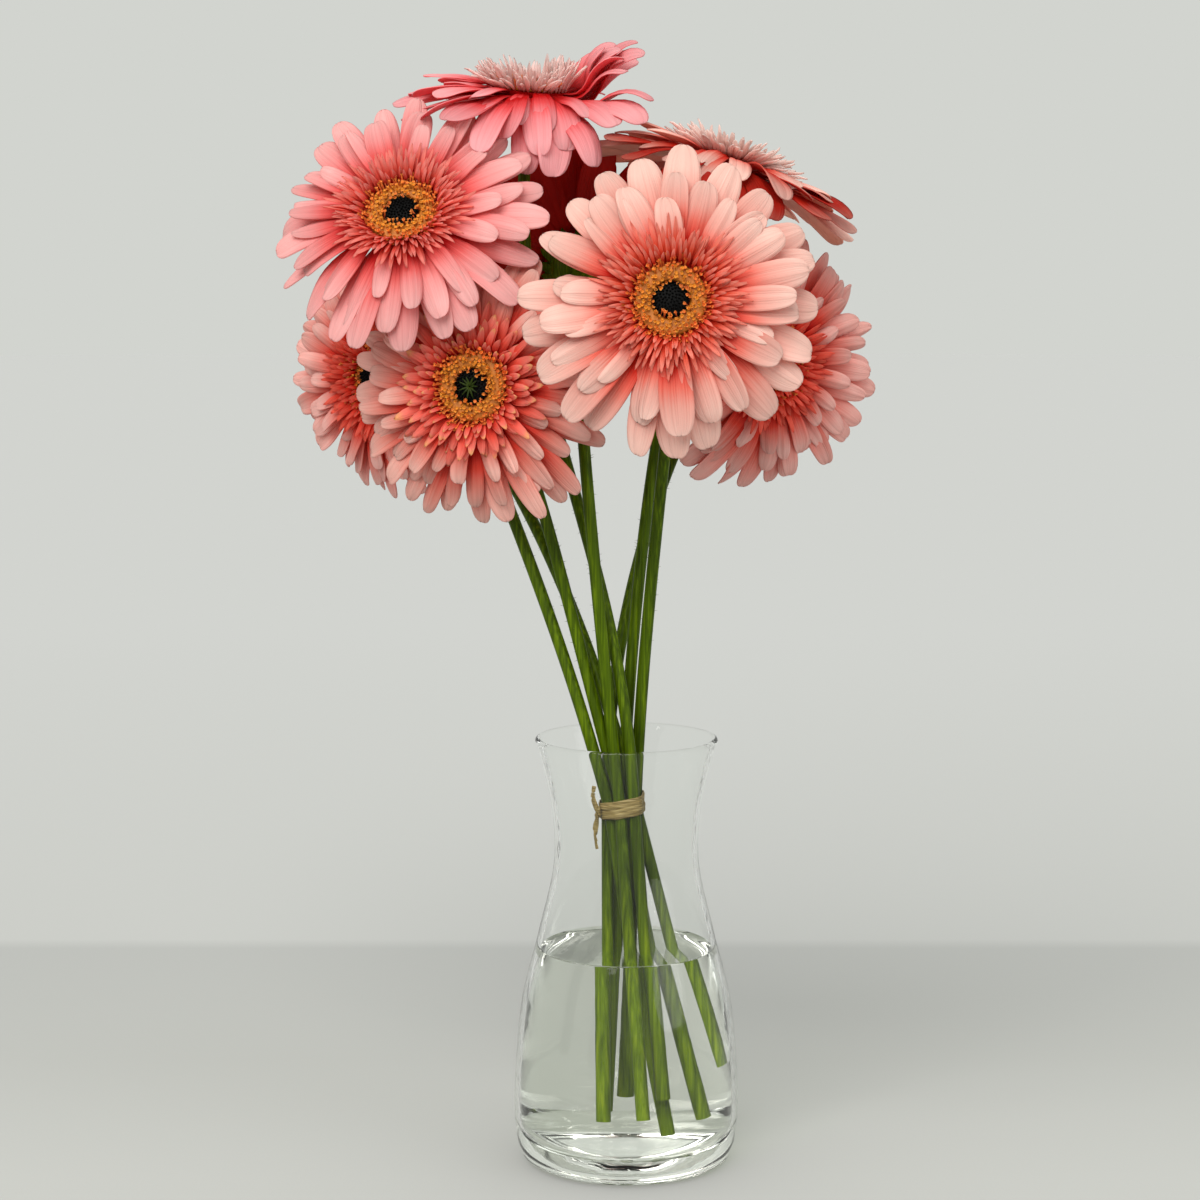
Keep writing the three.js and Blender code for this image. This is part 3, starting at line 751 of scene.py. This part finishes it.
def starPiece(flower, model, material):
    draw = drawFor(flower, "star")
    look = starLook
    copies = []
    for k in range(look["rays"]):
        drawn = drawEach(draw, look["varies"])
        copies.append(strapCopy(flower, model, {
            **drawn,
            "phi": (k + drawn["turn"]) / look["rays"] * 2 * math.pi,
            "root": look["root"],
            "height": look["height"],
            "length": look["length"] * drawn["length"],
            "width": look["width"],
            "cup": look["cup"],
        }, drawn["tint"]))
    piece = joinAs(f"{flower['name']}Star", copies, material)
    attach(piece, "root")


stemLook = {"radius": 2.5, "reach": 0.42, "tie": (-1.5, 0, 151)}
hairLook = {
    "count": 260, "length": 1.5, "radius": 0.07,
    "varies": {"place": (0, 1), "side": (0, 6.28), "lean": (-0.2, 0.6), "length": (0.5, 1.1), "tint": (0, 1)},
}
bractLook = {
    "across": 2,
    "thickness": 0.5,
    "outline": [(0, 0.7), (0.2, 0.95), (0.4, 1), (0.6, 0.8), (0.8, 0.5), (0.93, 0.22), (1, 0.04)],
    "grooves": [(0.0, 0.1, -0.3)],
    # on the cup: count, radius and depth below its top where they start, length, rise
    "rows": [(9, 5.0, 13.2, 11, 62), (12, 8.0, 10.6, 11, 52), (15, 10.2, 7.2, 9.5, 42)],
    "width": 4.6,
    "fall": -14,
    "cup": 0.8,
    "varies": {
        "turn": (-0.15, 0.15), "length": (0.9, 1.1), "roll": (-8, 8), "twist": (-12, 12), "sway": (-0.8, 0.8),
        "curl": (-20, 30), "tint": (0, 1),
    },
}


# a stem's foot, its middle at the tie, the two handles of its curve above that, and its neck
def stemPath(flower):
    out = facing(flower)
    tie = Vector(stemLook["tie"]) + Vector((*flower["slot"], 0))
    neck = Vector(flower["eye"]) + out * (calyx["top"] - calyx["depth"] * 0.9)
    span = (neck - tie).length
    lean = Vector((*flower["lean"], 1)).normalized()
    return Vector(flower["foot"]), tie, tie + lean * span * stemLook["reach"], neck - out * span * flower["turn"], neck


# A thin hair that tapers to its end, standing on the origin, one mm long.
def modelHair():
    bpy.ops.mesh.primitive_circle_add(vertices=3, radius=hairLook["radius"], fill_type="NGON")
    hair = bpy.context.object
    hair.name = "hairModel"
    startEdit()
    for rise, scale in ((0.5, 0.7), (0.5, 0.15)):
        extrudeBy(0.1, 0, rise)
        bpy.ops.transform.resize(value=(scale, scale, 1))
    turnFacesOut()
    endEdit()
    addLayers(hair)
    return hair, readPoints(hair)


# hairs along the upper stem, thickest below the head
def hairCopies(flower, model):
    draw = drawFor(flower, "hairs")
    hair, shape = model
    foot, tie, leave, arrive, neck = stemPath(flower)
    copies = []
    for k in range(hairLook["count"]):
        drawn = drawEach(draw, hairLook["varies"])
        t = 1 - 0.75 * drawn["place"] ** 1.5
        place = tie * (1 - t) ** 3 + leave * 3 * t * (1 - t) ** 2 + arrive * 3 * t * t * (1 - t) + neck * t ** 3
        along = (leave - tie) * (1 - t) ** 2 + (arrive - leave) * 2 * t * (1 - t) + (neck - arrive) * t * t
        along.normalize()
        side = Matrix.Rotation(drawn["side"], 3, along) @ along.orthogonal().normalized()
        turned = np.array((side + along * drawn["lean"]).to_track_quat("Z", "Y").to_matrix())
        points = (shape * hairLook["length"] * drawn["length"]) @ turned.T
        points += np.array(place + side * stemLook["radius"] * 0.96)
        copies.append(placeCopy(hair, points * mm, drawn["tint"]))
    return copies


# a stem as one curve with a round section
def stemBody(flower):
    foot, tie, leave, arrive, neck = stemPath(flower)
    bpy.ops.curve.primitive_bezier_curve_add()
    stem = bpy.context.object
    spline = stem.data.splines[0]
    spline.bezier_points.add(1)
    for point, place, left, right in zip(
        spline.bezier_points,
        (foot, tie, neck),
        (foot, tie.lerp(foot, 1 / 3), arrive),
        (foot.lerp(tie, 1 / 3), leave, neck),
    ):
        point.handle_left_type = point.handle_right_type = "FREE"
        point.co = place * mm
        point.handle_left = left * mm
        point.handle_right = right * mm
    stem.data.resolution_u = 40
    stem.data.bevel_depth = stemLook["radius"] * mm
    stem.data.bevel_resolution = 6
    stem.data.use_fill_caps = True
    bpy.ops.object.convert(target="MESH")
    stem = bpy.context.object
    bpy.ops.object.shade_smooth()
    addLayers(stem)
    return stem


def stemPiece(flower, bractModel, hairModel, material):
    copies = [stemBody(flower), cupCopy(flower)] + hairCopies(flower, hairModel)
    draw = drawFor(flower, "bracts")
    look = bractLook
    for rank, (count, radius, depth, length, rise) in enumerate(look["rows"]):
        for k in range(count):
            drawn = drawEach(draw, look["varies"])
            copies.append(strapCopy(flower, bractModel, {
                **drawn,
                "phi": (k + 0.5 * rank + drawn["turn"]) / count * 2 * math.pi,
                "root": radius,
                "height": calyx["top"] - depth,
                "length": length * drawn["length"],
                "width": look["width"],
                "rise": rise,
                "fall": look["fall"],
                "cup": look["cup"],
            }, drawn["tint"]))
    keepPart(flower, "stem", copies, material)


# the green cup under the bracts
def cupCopy(flower):
    radius = stemLook["radius"] * 0.9
    bpy.ops.mesh.primitive_circle_add(vertices=20, radius=radius, location=(0, 0, 0), fill_type="NGON")
    cup = bpy.context.object
    startEdit()
    moveBy(0, 0, calyx["top"] - calyx["depth"])
    for share, rise in calyx["steps"]:
        extrudeBy(0, 0, 0.001)
        mesh = bmesh.from_edit_mesh(cup.data)
        grow = calyx["radius"] * share / radius
        radius = calyx["radius"] * share
        for v in [v for v in mesh.verts if v.select]:
            v.co = (v.co.x * grow, v.co.y * grow, calyx["top"] - calyx["depth"] * (1 - rise))
        bmesh.update_edit_mesh(cup.data)
    turnFacesOut()
    endEdit()
    return settleBody(flower, cup)


# profiles of the vase and the water, as radius and height pairs
vaseLook = {
    "wall": [(46, 9), (47.2, 27), (44.2, 66), (36.6, 98), (30.3, 127), (31.6, 153), (38, 180)],
    "foot": [(0, 1.1), (20, 0.9), (33, 0.25), (36.5, 0), (40, 0.5), (43.8, 2.9)],
    "inside": [(41.6, 12.0), (39.4, 10.0), (35.5, 9.1), (20, 8.9), (0, 8.8)],
    "innerFrom": 14,  # the height from which the inner wall follows the outer one
    "thickness": 2.4,
    "rows": 48,
    "sides": 96,
}
waterLook = {
    "level": 90,
    "gap": 0.12,
    "meniscus": 1.3,
    "meniscusReach": 1.1,
    "meniscusSteps": (0.3, 0.8, 1.5, 2.5, 4, 7),
    # runs on through the base, which bends light alike, so that no false dark edge shows between the two
    "bottom": [
        (0, 1.7), (20, 1.5), (33, 0.9), (37, 0.8), (40, 1.2), (42.6, 3.4), (43.4, 6.5), (43.2, 10.5), (42.2, 12.6),
    ],
}


# a smooth line through the wall's points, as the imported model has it
def wallLine():
    points = [Vector(p) for p in vaseLook["wall"]]
    padded = [points[0]] + points + [points[-1]]
    line = []
    for i in range(vaseLook["rows"] + 1):
        place = i / vaseLook["rows"] * (len(points) - 1)
        k = min(int(place), len(points) - 2)
        t = place - k
        a, b, c, d = padded[k:k + 4]
        p = 0.5 * ((2 * b) + (c - a) * t + (2 * a - 5 * b + 4 * c - d) * t ** 2 + (3 * b - a - 3 * c + d) * t ** 3)
        line.append((p.x, p.y))
    return line


# spins a profile about Z into a closed body
def spinProfile(name, profile):
    bpy.ops.mesh.primitive_plane_add(size=0.001)
    body = bpy.context.object
    body.name = name
    body.data.clear_geometry()
    body.data.from_pydata([(r * mm, 0, z * mm) for r, z in profile], [(i, i + 1) for i in range(len(profile) - 1)], [])
    startEdit()
    bpy.ops.mesh.spin(steps=vaseLook["sides"], angle=2 * math.pi, center=(0, 0, 0), axis=(0, 0, 1))
    bpy.ops.mesh.select_all(action="SELECT")
    bpy.ops.mesh.remove_doubles(threshold=0.000004)
    bpy.ops.mesh.normals_make_consistent(inside=False)
    bpy.ops.object.mode_set(mode="OBJECT")
    bpy.ops.object.shade_smooth_by_angle(angle=math.radians(50))
    return body


# the inner wall up to a height, with a gap to it
def innerWall(line, gap, top):
    inner = [(r - vaseLook["thickness"] - gap, z) for r, z in line]
    return [p for p in inner if vaseLook["innerFrom"] < p[1] < top]


def vasePiece():
    line = wallLine()
    half, rim = vaseLook["thickness"] / 2, vaseLook["wall"][-1]
    lip = [(rim[0] - half * (1 - math.cos(a)), rim[1] - half * (1 - math.sin(a))) for a in np.linspace(0, math.pi, 9)]
    outer = [p for p in line if p[1] < rim[1] - half]
    inner = innerWall(line, 0, rim[1] - half)
    piece = spinProfile("glassVase", vaseLook["foot"] + outer + lip + inner[::-1] + vaseLook["inside"])
    piece.data.materials.append(glassMaterial())
    keepPiece(piece, "vase")


def waterPiece():
    look = waterLook
    line = wallLine()
    edge = float(np.interp(look["level"], [z for r, z in line], [r for r, z in line]))
    edge -= look["gap"] + vaseLook["thickness"]
    skin = [(edge, look["level"] + look["meniscus"])]
    for inwards in look["meniscusSteps"]:
        fallen = math.exp(-inwards / look["meniscusReach"])
        skin.append((edge - inwards, look["level"] + look["meniscus"] * fallen))
    side = innerWall(line, look["gap"], look["level"])
    piece = spinProfile("vaseWater", look["bottom"] + side + skin + [(0, look["level"])])
    piece.data.materials.append(waterMaterial())
    keepPiece(piece, "water")


# the wound band of the tie, its knot and its ends: how far each rises, how long it is, and its shift aside
tieLook = {
    "seed": 33, "band": 7.5, "slope": 0.2, "wraps": 7, "clear": 0.7, "overlap": 0.25, "wide": 1.9, "thick": 0.45,
    "step": 0.8, "sway": 0.35,
    "knot": {"clear": 1.85, "loops": 3, "points": 24, "radius": 1.5, "grow": 0.3, "wide": 1.6, "thick": 0.6},
    "ends": [(1, 11, 0.2), (1, 8, -0.6), (-1, 15, 0.4), (-1, 12, -0.5)],
    "endWide": 1.7, "endThick": 0.4,
}


# the convex outline of points in plan, anticlockwise
def outlineRound(points):
    ordered = sorted(set(points))

    def half(chainPoints):
        chain = []
        for p in chainPoints:
            while len(chain) > 1 and ((chain[-1][0] - chain[-2][0]) * (p[1] - chain[-2][1])
                                      - (chain[-1][1] - chain[-2][1]) * (p[0] - chain[-2][0])) <= 0:
                chain.pop()
            chain.append(p)
        return chain[:-1]

    return half(ordered) + half(ordered[::-1])


# where the middle of a stem passes a height near the tie
def stemAtTie(flower, z):
    foot, tie, leave, arrive, neck = stemPath(flower)
    if z <= tie.z:
        return foot.lerp(tie, (z - foot.z) / (tie.z - foot.z))
    direction = (leave - tie).normalized()
    return tie + direction * (z - tie.z) / direction.z


def bundleOutline(z, clear):
    radius = stemLook["radius"] + clear
    points = []
    for flower in flowers:
        middle = stemAtTie(flower, z)
        for k in range(16):
            angle = k / 16 * 2 * math.pi
            x, y = middle.x + math.cos(angle) * radius, middle.y + math.sin(angle) * radius
            points.append((round(x, 4), round(y, 4)))
    return outlineRound(points)


# a flat strand of raffia along a line of points, in mm
def strand(points, wide, thick, closed):
    bpy.ops.curve.primitive_bezier_curve_add()
    ribbon = bpy.context.object
    ribbon.data.splines.clear()
    spline = ribbon.data.splines.new("POLY")
    spline.points.add(len(points) - 1)
    for target, place in zip(spline.points, points):
        target.co = (*(Vector(place) * mm), 1)
    spline.use_cyclic_u = closed
    ribbon.data.twist_mode = "Z_UP"
    bpy.ops.curve.primitive_nurbs_circle_add(radius=wide / 2 * mm)
    section = bpy.context.object
    section.scale = (thick / wide, 1, 1)
    ribbon.data.bevel_mode = "OBJECT"
    ribbon.data.bevel_object = section
    section.data.resolution_u = 2
    ribbon.data.use_fill_caps = not closed
    deselectAll()
    ribbon.select_set(True)
    bpy.context.view_layer.objects.active = ribbon
    bpy.ops.object.convert(target="MESH")
    made = bpy.context.object
    bpy.data.objects.remove(section)
    return made


# one wrap round the bundle, which slopes and sways
def wrapPoints(level, clear, tilt, swing):
    outline = bundleOutline(level, clear)
    points = []
    for (x, y), (nextX, nextY) in zip(outline, outline[1:] + outline[:1]):
        count = max(1, int(math.hypot(nextX - x, nextY - y) / tieLook["step"]))
        for j in range(count):
            px, py = x + (nextX - x) * j / count, y + (nextY - y) * j / count
            sway = tieLook["sway"] * math.sin(math.atan2(py, px) + swing)
            points.append((px, py, level + (px - stemLook["tie"][0]) * tilt + sway))
    return points


def tiePiece():
    look, knotLook = tieLook, tieLook["knot"]
    centreX, centreZ = stemLook["tie"][0], stemLook["tie"][2]
    draw = random.Random(look["seed"])
    strands = []
    for wrap in range(look["wraps"]):
        level = centreZ + (wrap / (look["wraps"] - 1) - 0.5) * (look["band"] - look["wide"])
        tilt, swing = look["slope"] + draw.uniform(-0.05, 0.05), draw.uniform(0, 6.28)
        points = wrapPoints(level, look["clear"] + look["overlap"] * (wrap % 2), tilt, swing)
        strands.append(strand(points, look["wide"], look["thick"], True))
    # the knot sits at the left front
    knotX, knotY = min(bundleOutline(centreZ, knotLook["clear"]), key=lambda p: p[0] + p[1] * 0.6)
    knot = Vector((knotX, knotY, centreZ + (knotX - centreX) * look["slope"]))
    out = Vector((knotX - centreX, knotY, 0)).normalized()
    side = Vector((-out.y, out.x, 0))
    for loop in range(knotLook["loops"]):
        ring = []
        radius = knotLook["radius"] + knotLook["grow"] * loop
        for i in range(knotLook["points"]):
            angle = i / knotLook["points"] * 2 * math.pi
            offset = side * math.cos(angle) * radius * 0.8 + Vector((0, 0, 1)) * math.sin(angle + loop) * radius
            ring.append(knot + offset + out * (0.4 * math.sin(2 * angle + loop) + 0.5))
        strands.append(strand(ring, knotLook["wide"], knotLook["thick"], True))
    for rise, length, shift in look["ends"]:
        tail = []
        for s in [i / 15 for i in range(16)]:
            aside = side * (shift - rise * 1.4 * s + 0.4 * math.sin(s * 7))
            tail.append(knot + out * (0.6 + 1.7 * math.sin(s * 2.2)) + aside + Vector((0, 0, rise * length * s)))
        strands.append(strand(tail, look["endWide"], look["endThick"], False))
    piece = joinAs("raffiaTie", strands, raffiaMaterial())
    bpy.ops.object.shade_smooth()
    keepPiece(piece, "tie")


# a new material with its Principled shader
def freshMaterial(name, roughness, specular=None):
    material = bpy.data.materials.new(name)
    material.use_nodes = True
    shader = material.node_tree.nodes["Principled BSDF"]
    shader.inputs["Roughness"].default_value = roughness
    if specular is not None:
        shader.inputs["Specular IOR Level"].default_value = specular
    return material, material.node_tree, shader


def addNode(tree, kind, x, y, **settings):
    node = tree.nodes.new("ShaderNode" + kind)
    node.location = (x, y)
    for key, value in settings.items():
        setattr(node, key, value)
    return node


# joins an output to a socket, or sets the socket to a colour or number
def feed(tree, socket, value):
    if isinstance(value, str):
        socket.default_value = colour(value)
    elif isinstance(value, (int, float)):
        socket.default_value = value
    else:
        tree.links.new(value, socket)


def ramp(tree, x, y, source, stops):
    node = addNode(tree, "ValToRGB", x, y)
    elements = node.color_ramp.elements
    while len(elements) < len(stops):
        elements.new(0.5)
    for element, (place, tone) in zip(elements, stops):
        element.position = place
        element.color = colour(tone) if isinstance(tone, str) else (tone, tone, tone, 1)
    tree.links.new(source, node.inputs["Fac"])
    return node.outputs["Color"]


def mathNode(tree, x, y, operation, *values):
    node = addNode(tree, "Math", x, y, operation=operation)
    for socket, value in zip(node.inputs, values):
        feed(tree, socket, value)
    return node.outputs[0]


def mixColour(tree, x, y, blend, factor, first, second):
    node = addNode(tree, "Mix", x, y, data_type="RGBA", blend_type=blend)
    for place, value in ((0, factor), (6, first), (7, second)):
        feed(tree, node.inputs[place], value)
    return node.outputs[2]


def bump(tree, x, y, height, strength, distance, onto=None):
    node = addNode(tree, "Bump", x, y)
    node.inputs["Strength"].default_value = strength
    node.inputs["Distance"].default_value = distance
    tree.links.new(height, node.inputs["Height"])
    if onto:
        tree.links.new(onto, node.inputs["Normal"])
    return node.outputs["Normal"]


# gives a shader its base colour and its relief
def dress(tree, shader, base, relief):
    tree.links.new(base, shader.inputs["Base Color"])
    tree.links.new(relief, shader.inputs["Normal"])


# a value that addLayers put at each point
def layerValue(tree, x, y, name):
    return addNode(tree, "Attribute", x, y, attribute_name=name).outputs["Fac"]


# noise in the object's own space, in metres, drawn out where a stretch is given
def grain(tree, x, y, scale, detail=2, stretch=None):
    place = addNode(tree, "TexCoord", x - 400, y).outputs["Object"]
    if stretch:
        mapping = addNode(tree, "Mapping", x - 200, y)
        mapping.inputs["Scale"].default_value = stretch
        tree.links.new(place, mapping.inputs["Vector"])
        place = mapping.outputs[0]
    noise = addNode(tree, "TexNoise", x, y)
    noise.inputs["Scale"].default_value = scale
    noise.inputs["Detail"].default_value = detail
    tree.links.new(place, noise.inputs["Vector"])
    return noise.outputs["Fac"]


# where the colours stand along a strap, how many veins cross it, and how much light comes through
petalSkin = {"places": (0.27, 0.45, 0.64, 0.92), "veins": 22, "through": 0.42}
floretSkin = {"places": (0.05, 0.45, 0.85, 1.0), "veins": 7, "through": 0.5}


# Colour from root to tip, fine veins along the strap, and a shift of shade from petal to petal.
def strapMaterial(name, tones, back, skin):
    material, tree, shader = freshMaterial(name, 0.52, 0.22)
    links = tree.links
    strapMap = addNode(tree, "UVMap", -1700, 0, uv_map="strapMap").outputs["UV"]
    tint, under = layerValue(tree, -1700, -300, "tint"), layerValue(tree, -1700, -500, "under")
    split = addNode(tree, "SeparateXYZ", -1500, 0)
    links.new(strapMap, split.inputs[0])
    # veins: noise drawn out along the strap, another for each petal
    spread = addNode(tree, "Mapping", -1500, -200)
    spread.inputs["Scale"].default_value = (skin["veins"], 0.8, 1)
    links.new(strapMap, spread.inputs["Vector"])
    vein = addNode(tree, "TexNoise", -1300, -200, noise_dimensions="4D")
    vein.inputs["Scale"].default_value = 1
    vein.inputs["Detail"].default_value = 3
    links.new(spread.outputs[0], vein.inputs["Vector"])
    links.new(mathNode(tree, -1500, -450, "MULTIPLY", tint, 37), vein.inputs["W"])
    vein = vein.outputs["Fac"]
    # the colours run further up some petals than others, and further between the veins
    shift = mathNode(tree, -1100, -300, "MULTIPLY_ADD", vein, 0.22, -0.11)
    along = mathNode(tree, -1100, 0, "ADD", split.outputs["Y"], shift)
    offset = mathNode(tree, -1100, -150, "MULTIPLY_ADD", tint, 0.2, -0.1)
    along = mathNode(tree, -950, 0, "ADD", along, offset)
    base = ramp(tree, -800, 0, along, list(zip(skin["places"], tones)))
    # painted shade in the two grooves, and darker between veins
    across = mathNode(tree, -1300, 200, "SUBTRACT", split.outputs["X"], 0.5)
    across = mathNode(tree, -1150, 200, "ABSOLUTE", across)
    groove = mathNode(tree, -1000, 200, "SUBTRACT", across, 0.19)
    groove = mathNode(tree, -850, 200, "ABSOLUTE", groove)
    grooveShade = ramp(tree, -700, 250, groove, [(0, 0.95), (0.03, 0.985), (0.08, 1.0)])
    veinShade = ramp(tree, -700, -250, vein, [(0.3, 0.9), (0.5, 0.99), (0.7, 1.0)])
    base = mixColour(tree, -450, 0, "MULTIPLY", 1.0, base, grooveShade)
    base = mixColour(tree, -300, 0, "MULTIPLY", 1.0, base, veinShade)
    # painted shade: straps darkened towards the viewer have a back painted as red as their root
    paintedShadeBack = addNode(tree, "Clamp", -650, -400)
    links.new(mathNode(tree, -800, -400, "MULTIPLY", tint, -1), paintedShadeBack.inputs["Value"])
    backTone = mixColour(tree, -450, -400, "MIX", paintedShadeBack.outputs[0], back, tones[0])
    backTone = mixColour(tree, -300, -250, "MULTIPLY", 0.6, backTone, veinShade)
    sides = mixColour(tree, -150, 0, "MIX", under, base, backTone)
    # painted shade: a lowered tint paints straps towards the viewer darker; otherwise tone differs at random
    tone = addNode(tree, "HueSaturation", 0, 0)
    links.new(mathNode(tree, -300, -450, "MULTIPLY_ADD", tint, 0.16, 0.91), tone.inputs["Value"])
    links.new(sides, tone.inputs["Color"])
    final = tone.outputs["Color"]
    # a soft velvet skin over the ribs of the veins
    fine = bump(tree, -300, -700, grain(tree, -1100, -700, 2600), 0.12, 0.0002)
    ribs = bump(tree, -150, -700, vein, 0.6, 0.0008, fine)
    dress(tree, shader, final, ribs)
    # light that comes through the petal
    glow = addNode(tree, "BsdfTranslucent", 100, -300)
    links.new(final, glow.inputs["Color"])
    links.new(ribs, glow.inputs["Normal"])
    mixShaders(tree, skin["through"], shader, glow)
    return material


def mixShaders(tree, share, first, second):
    blend = addNode(tree, "MixShader", 350, 0)
    for socket, value in zip(blend.inputs, (share, first.outputs[0], second.outputs[0])):
        feed(tree, socket, value)
    tree.links.new(blend.outputs[0], tree.nodes["Material Output"].inputs["Surface"])


def petalMaterial(flower):
    kind = flower["kind"]
    return strapMaterial(f"{flower['name']}Petal", kind["petal"], kind["back"], petalSkin)


def floretMaterial(flower):
    kind = flower["kind"]
    return strapMaterial(f"{flower['name']}Floret", kind["floret"], kind.get("floretBack", kind["back"]), floretSkin)


# painted shade: by height the tubes are dark at their feet and on their ring, for the shade among them, up to their
# own gold at the mouth; by rank each row has its own colour
discTones = {
    "height": [(0, "#571404"), (0.5, "#c4600c"), (0.85, "#f29c22"), (1, "#ffcc68")],
    "rank": [(0.06, "#d8583c"), (0.18, "#d07a10"), (0.45, "#de901c"), (0.6, "#ee6c34"), (1, "#fa5a42")],
}


def discMaterial():
    material, tree, shader = freshMaterial("goldenFlorets", 0.6)
    body = ramp(tree, -650, 0, layerValue(tree, -900, 0, "under"), discTones["height"])
    rank = ramp(tree, -650, -250, layerValue(tree, -900, -250, "tint"), discTones["rank"])
    speckle = grain(tree, -650, -500, 900)
    shade = ramp(tree, -400, -500, speckle, [(0.3, 0.7), (0.6, 1.0)])
    base = mixColour(tree, -350, 0, "MIX", 0.5, body, rank)
    base = mixColour(tree, -150, 0, "MULTIPLY", 0.7, base, shade)
    dress(tree, shader, base, bump(tree, -150, -400, speckle, 0.3, 0.0003))
    return material


def eyeMaterial():
    material, tree, shader = freshMaterial("darkEye", 0.6, 0.12)
    speckle = grain(tree, -650, 0, 1500)
    mixed = mathNode(tree, -450, 0, "MULTIPLY", speckle, layerValue(tree, -900, -250, "tint"))
    base = ramp(tree, -300, 0, mixed, [(0, "#010101"), (0.5, "#040303"), (0.85, "#0e0a0b")])
    dress(tree, shader, base, bump(tree, -150, -300, speckle, 0.3, 0.0003))
    return material


# the greens of stems, from streak to streak, and lighter, yellower greens painted low in the vase, as
# painted light through the glass and water
stemTones = {"upper": ("#2e3e02", "#465c03", "#688008"), "litLow": ("#546a04", "#7a9608", "#a4ba1c")}
starTones = {"upper": ("#141c04", "#24300a", "#3c4a18"), "litLow": ("#141c04", "#24300a", "#3c4a18")}
litLowHeights = (0.07, 0.125)  # the height over which one goes over into the other, in metres


def stemMaterial(name, tones):
    material, tree, shader = freshMaterial(name, 0.42, 0.1)
    links = tree.links
    streak = grain(tree, -700, 0, 1, 4, (900, 900, 14))
    broad = grain(tree, -700, -300, 26)
    upper, litLow = (ramp(tree, -450, y, streak, list(zip((0.3, 0.52, 0.75), tones[part])))
                    for part, y in (("upper", 0), ("litLow", 300)))
    # painted light: low in the vase the stems take the lighter, yellower greens
    split = addNode(tree, "SeparateXYZ", -900, 500)
    links.new(addNode(tree, "TexCoord", -1100, 500).outputs["Object"], split.inputs[0])
    litLowShare = addNode(tree, "MapRange", -700, 500)
    for socket, value in (("From Min", litLowHeights[0]), ("From Max", litLowHeights[1]), ("To Min", 1), ("To Max", 0)):
        litLowShare.inputs[socket].default_value = value
    links.new(split.outputs["Z"], litLowShare.inputs["Value"])
    green = mixColour(tree, -300, 200, "MIX", litLowShare.outputs[0], upper, litLow)
    patch = ramp(tree, -450, -300, broad, [(0.3, 0.78), (0.7, 1.1)])
    base = mixColour(tree, -150, 0, "MULTIPLY", 1.0, green, patch)
    dress(tree, shader, base, bump(tree, -200, -300, streak, 0.3, 0.0003))
    return material


def raffiaMaterial():
    material, tree, shader = freshMaterial("dryRaffia", 0.7)
    fibre = grain(tree, -700, 0, 1, 5, (160, 160, 2600))
    tone = ramp(tree, -450, 0, fibre, [(0.3, "#66552a"), (0.5, "#96824a"), (0.75, "#bba877")])
    dress(tree, shader, tone, bump(tree, -200, -300, fibre, 0.5, 0.0004))
    return material


# the glass bends light far less than real glass, so that its edges stay faint, and a coat gives it highlights
glassLook = {"tone": "#fefffe", "ior": 1.05, "ripple": 32, "detail": 1, "strength": 0.06, "distance": 0.004}
waterSkin = {"tone": "#fcfef8", "ior": 1.33, "ripple": 55, "detail": 2, "strength": 0.05, "distance": 0.003}


# Clear glass or water. Lamps shine straight through, so that what stands inside is lit.
def clearMaterial(name, look):
    material, tree, shader = freshMaterial(name, 0.0)
    shader.inputs["Base Color"].default_value = colour(look["tone"])
    shader.inputs["Transmission Weight"].default_value = 1
    shader.inputs["IOR"].default_value = look["ior"]
    ripple = grain(tree, -700, -300, look["ripple"], look["detail"])
    tree.links.new(bump(tree, -400, -300, ripple, look["strength"], look["distance"]), shader.inputs["Normal"])
    rays = addNode(tree, "LightPath", -300, 300)
    passing = addNode(tree, "BsdfTransparent", 0, -200)
    passing.inputs["Color"].default_value = colour(look["tone"])
    mixShaders(tree, rays.outputs["Is Shadow Ray"], shader, passing)
    return material, shader


def glassMaterial():
    material, shader = clearMaterial("clearGlass", glassLook)
    for socket, value in (("Coat Weight", 0.4), ("Coat Roughness", 0.02), ("Coat IOR", 1.5)):
        shader.inputs[socket].default_value = value
    return material


def waterMaterial():
    return clearMaterial("vaseWater", waterSkin)[0]


# pale board, painted lighter in front and darker towards its back edge as painted light falling off,
# and beyond that edge the tone of the wall, painted darker at its foot as painted shade
def floorMaterial():
    material, tree, shader = freshMaterial("paleFloor", 0.6, 0.0)
    split = addNode(tree, "SeparateXYZ", -900, 0)
    tree.links.new(addNode(tree, "TexCoord", -1100, 0).outputs["Object"], split.inputs[0])
    edge = mathNode(tree, -700, 0, "MULTIPLY_ADD", split.outputs["Y"], 0.4, 0.5 - 0.4 * studio["floorEdge"])
    tone = ramp(tree, -450, 0, edge, [
        (0.34, studio["floorLitFront"]), (0.41, studio["floor"]), (0.497, studio["floorDimBack"]),
        (0.503, studio["wallShadedFoot"]), (1, studio["wall"]),
    ])
    speckle = ramp(tree, -450, -300, grain(tree, -700, -300, 900), [(0.3, 0.985), (0.7, 1.0)])
    tree.links.new(mixColour(tree, -200, 0, "MULTIPLY", 1.0, tone, speckle), shader.inputs["Base Color"])
    return material


setStage()
petalModel = modelStrap("petalModel", petalLook)
floretModel = modelStrap("floretModel", floretLook)
bractModel = modelStrap("bractModel", bractLook)
tubeModel, budModel, hairModel = modelTube(), modelBud(), modelHair()
gold, dark = discMaterial(), eyeMaterial()
green, starGreen = stemMaterial("greenStem", stemTones), stemMaterial("darkStar", starTones)
for flower in flowers:
    petalPiece(flower, petalModel)
    floretPiece(flower, floretModel)
    discPiece(flower, tubeModel, gold)
    eyePiece(flower, budModel, dark)
    stemPiece(flower, bractModel, hairModel, green)
    if flower["kind"] is scaledBloom:
        starPiece(flower, bractModel, starGreen)
    print("flower", flower["name"])
for model, shape in (petalModel, floretModel, bractModel, tubeModel, budModel, hairModel):
    bpy.data.objects.remove(model)
vasePiece()
waterPiece()
tiePiece()
print("vase, water and tie")
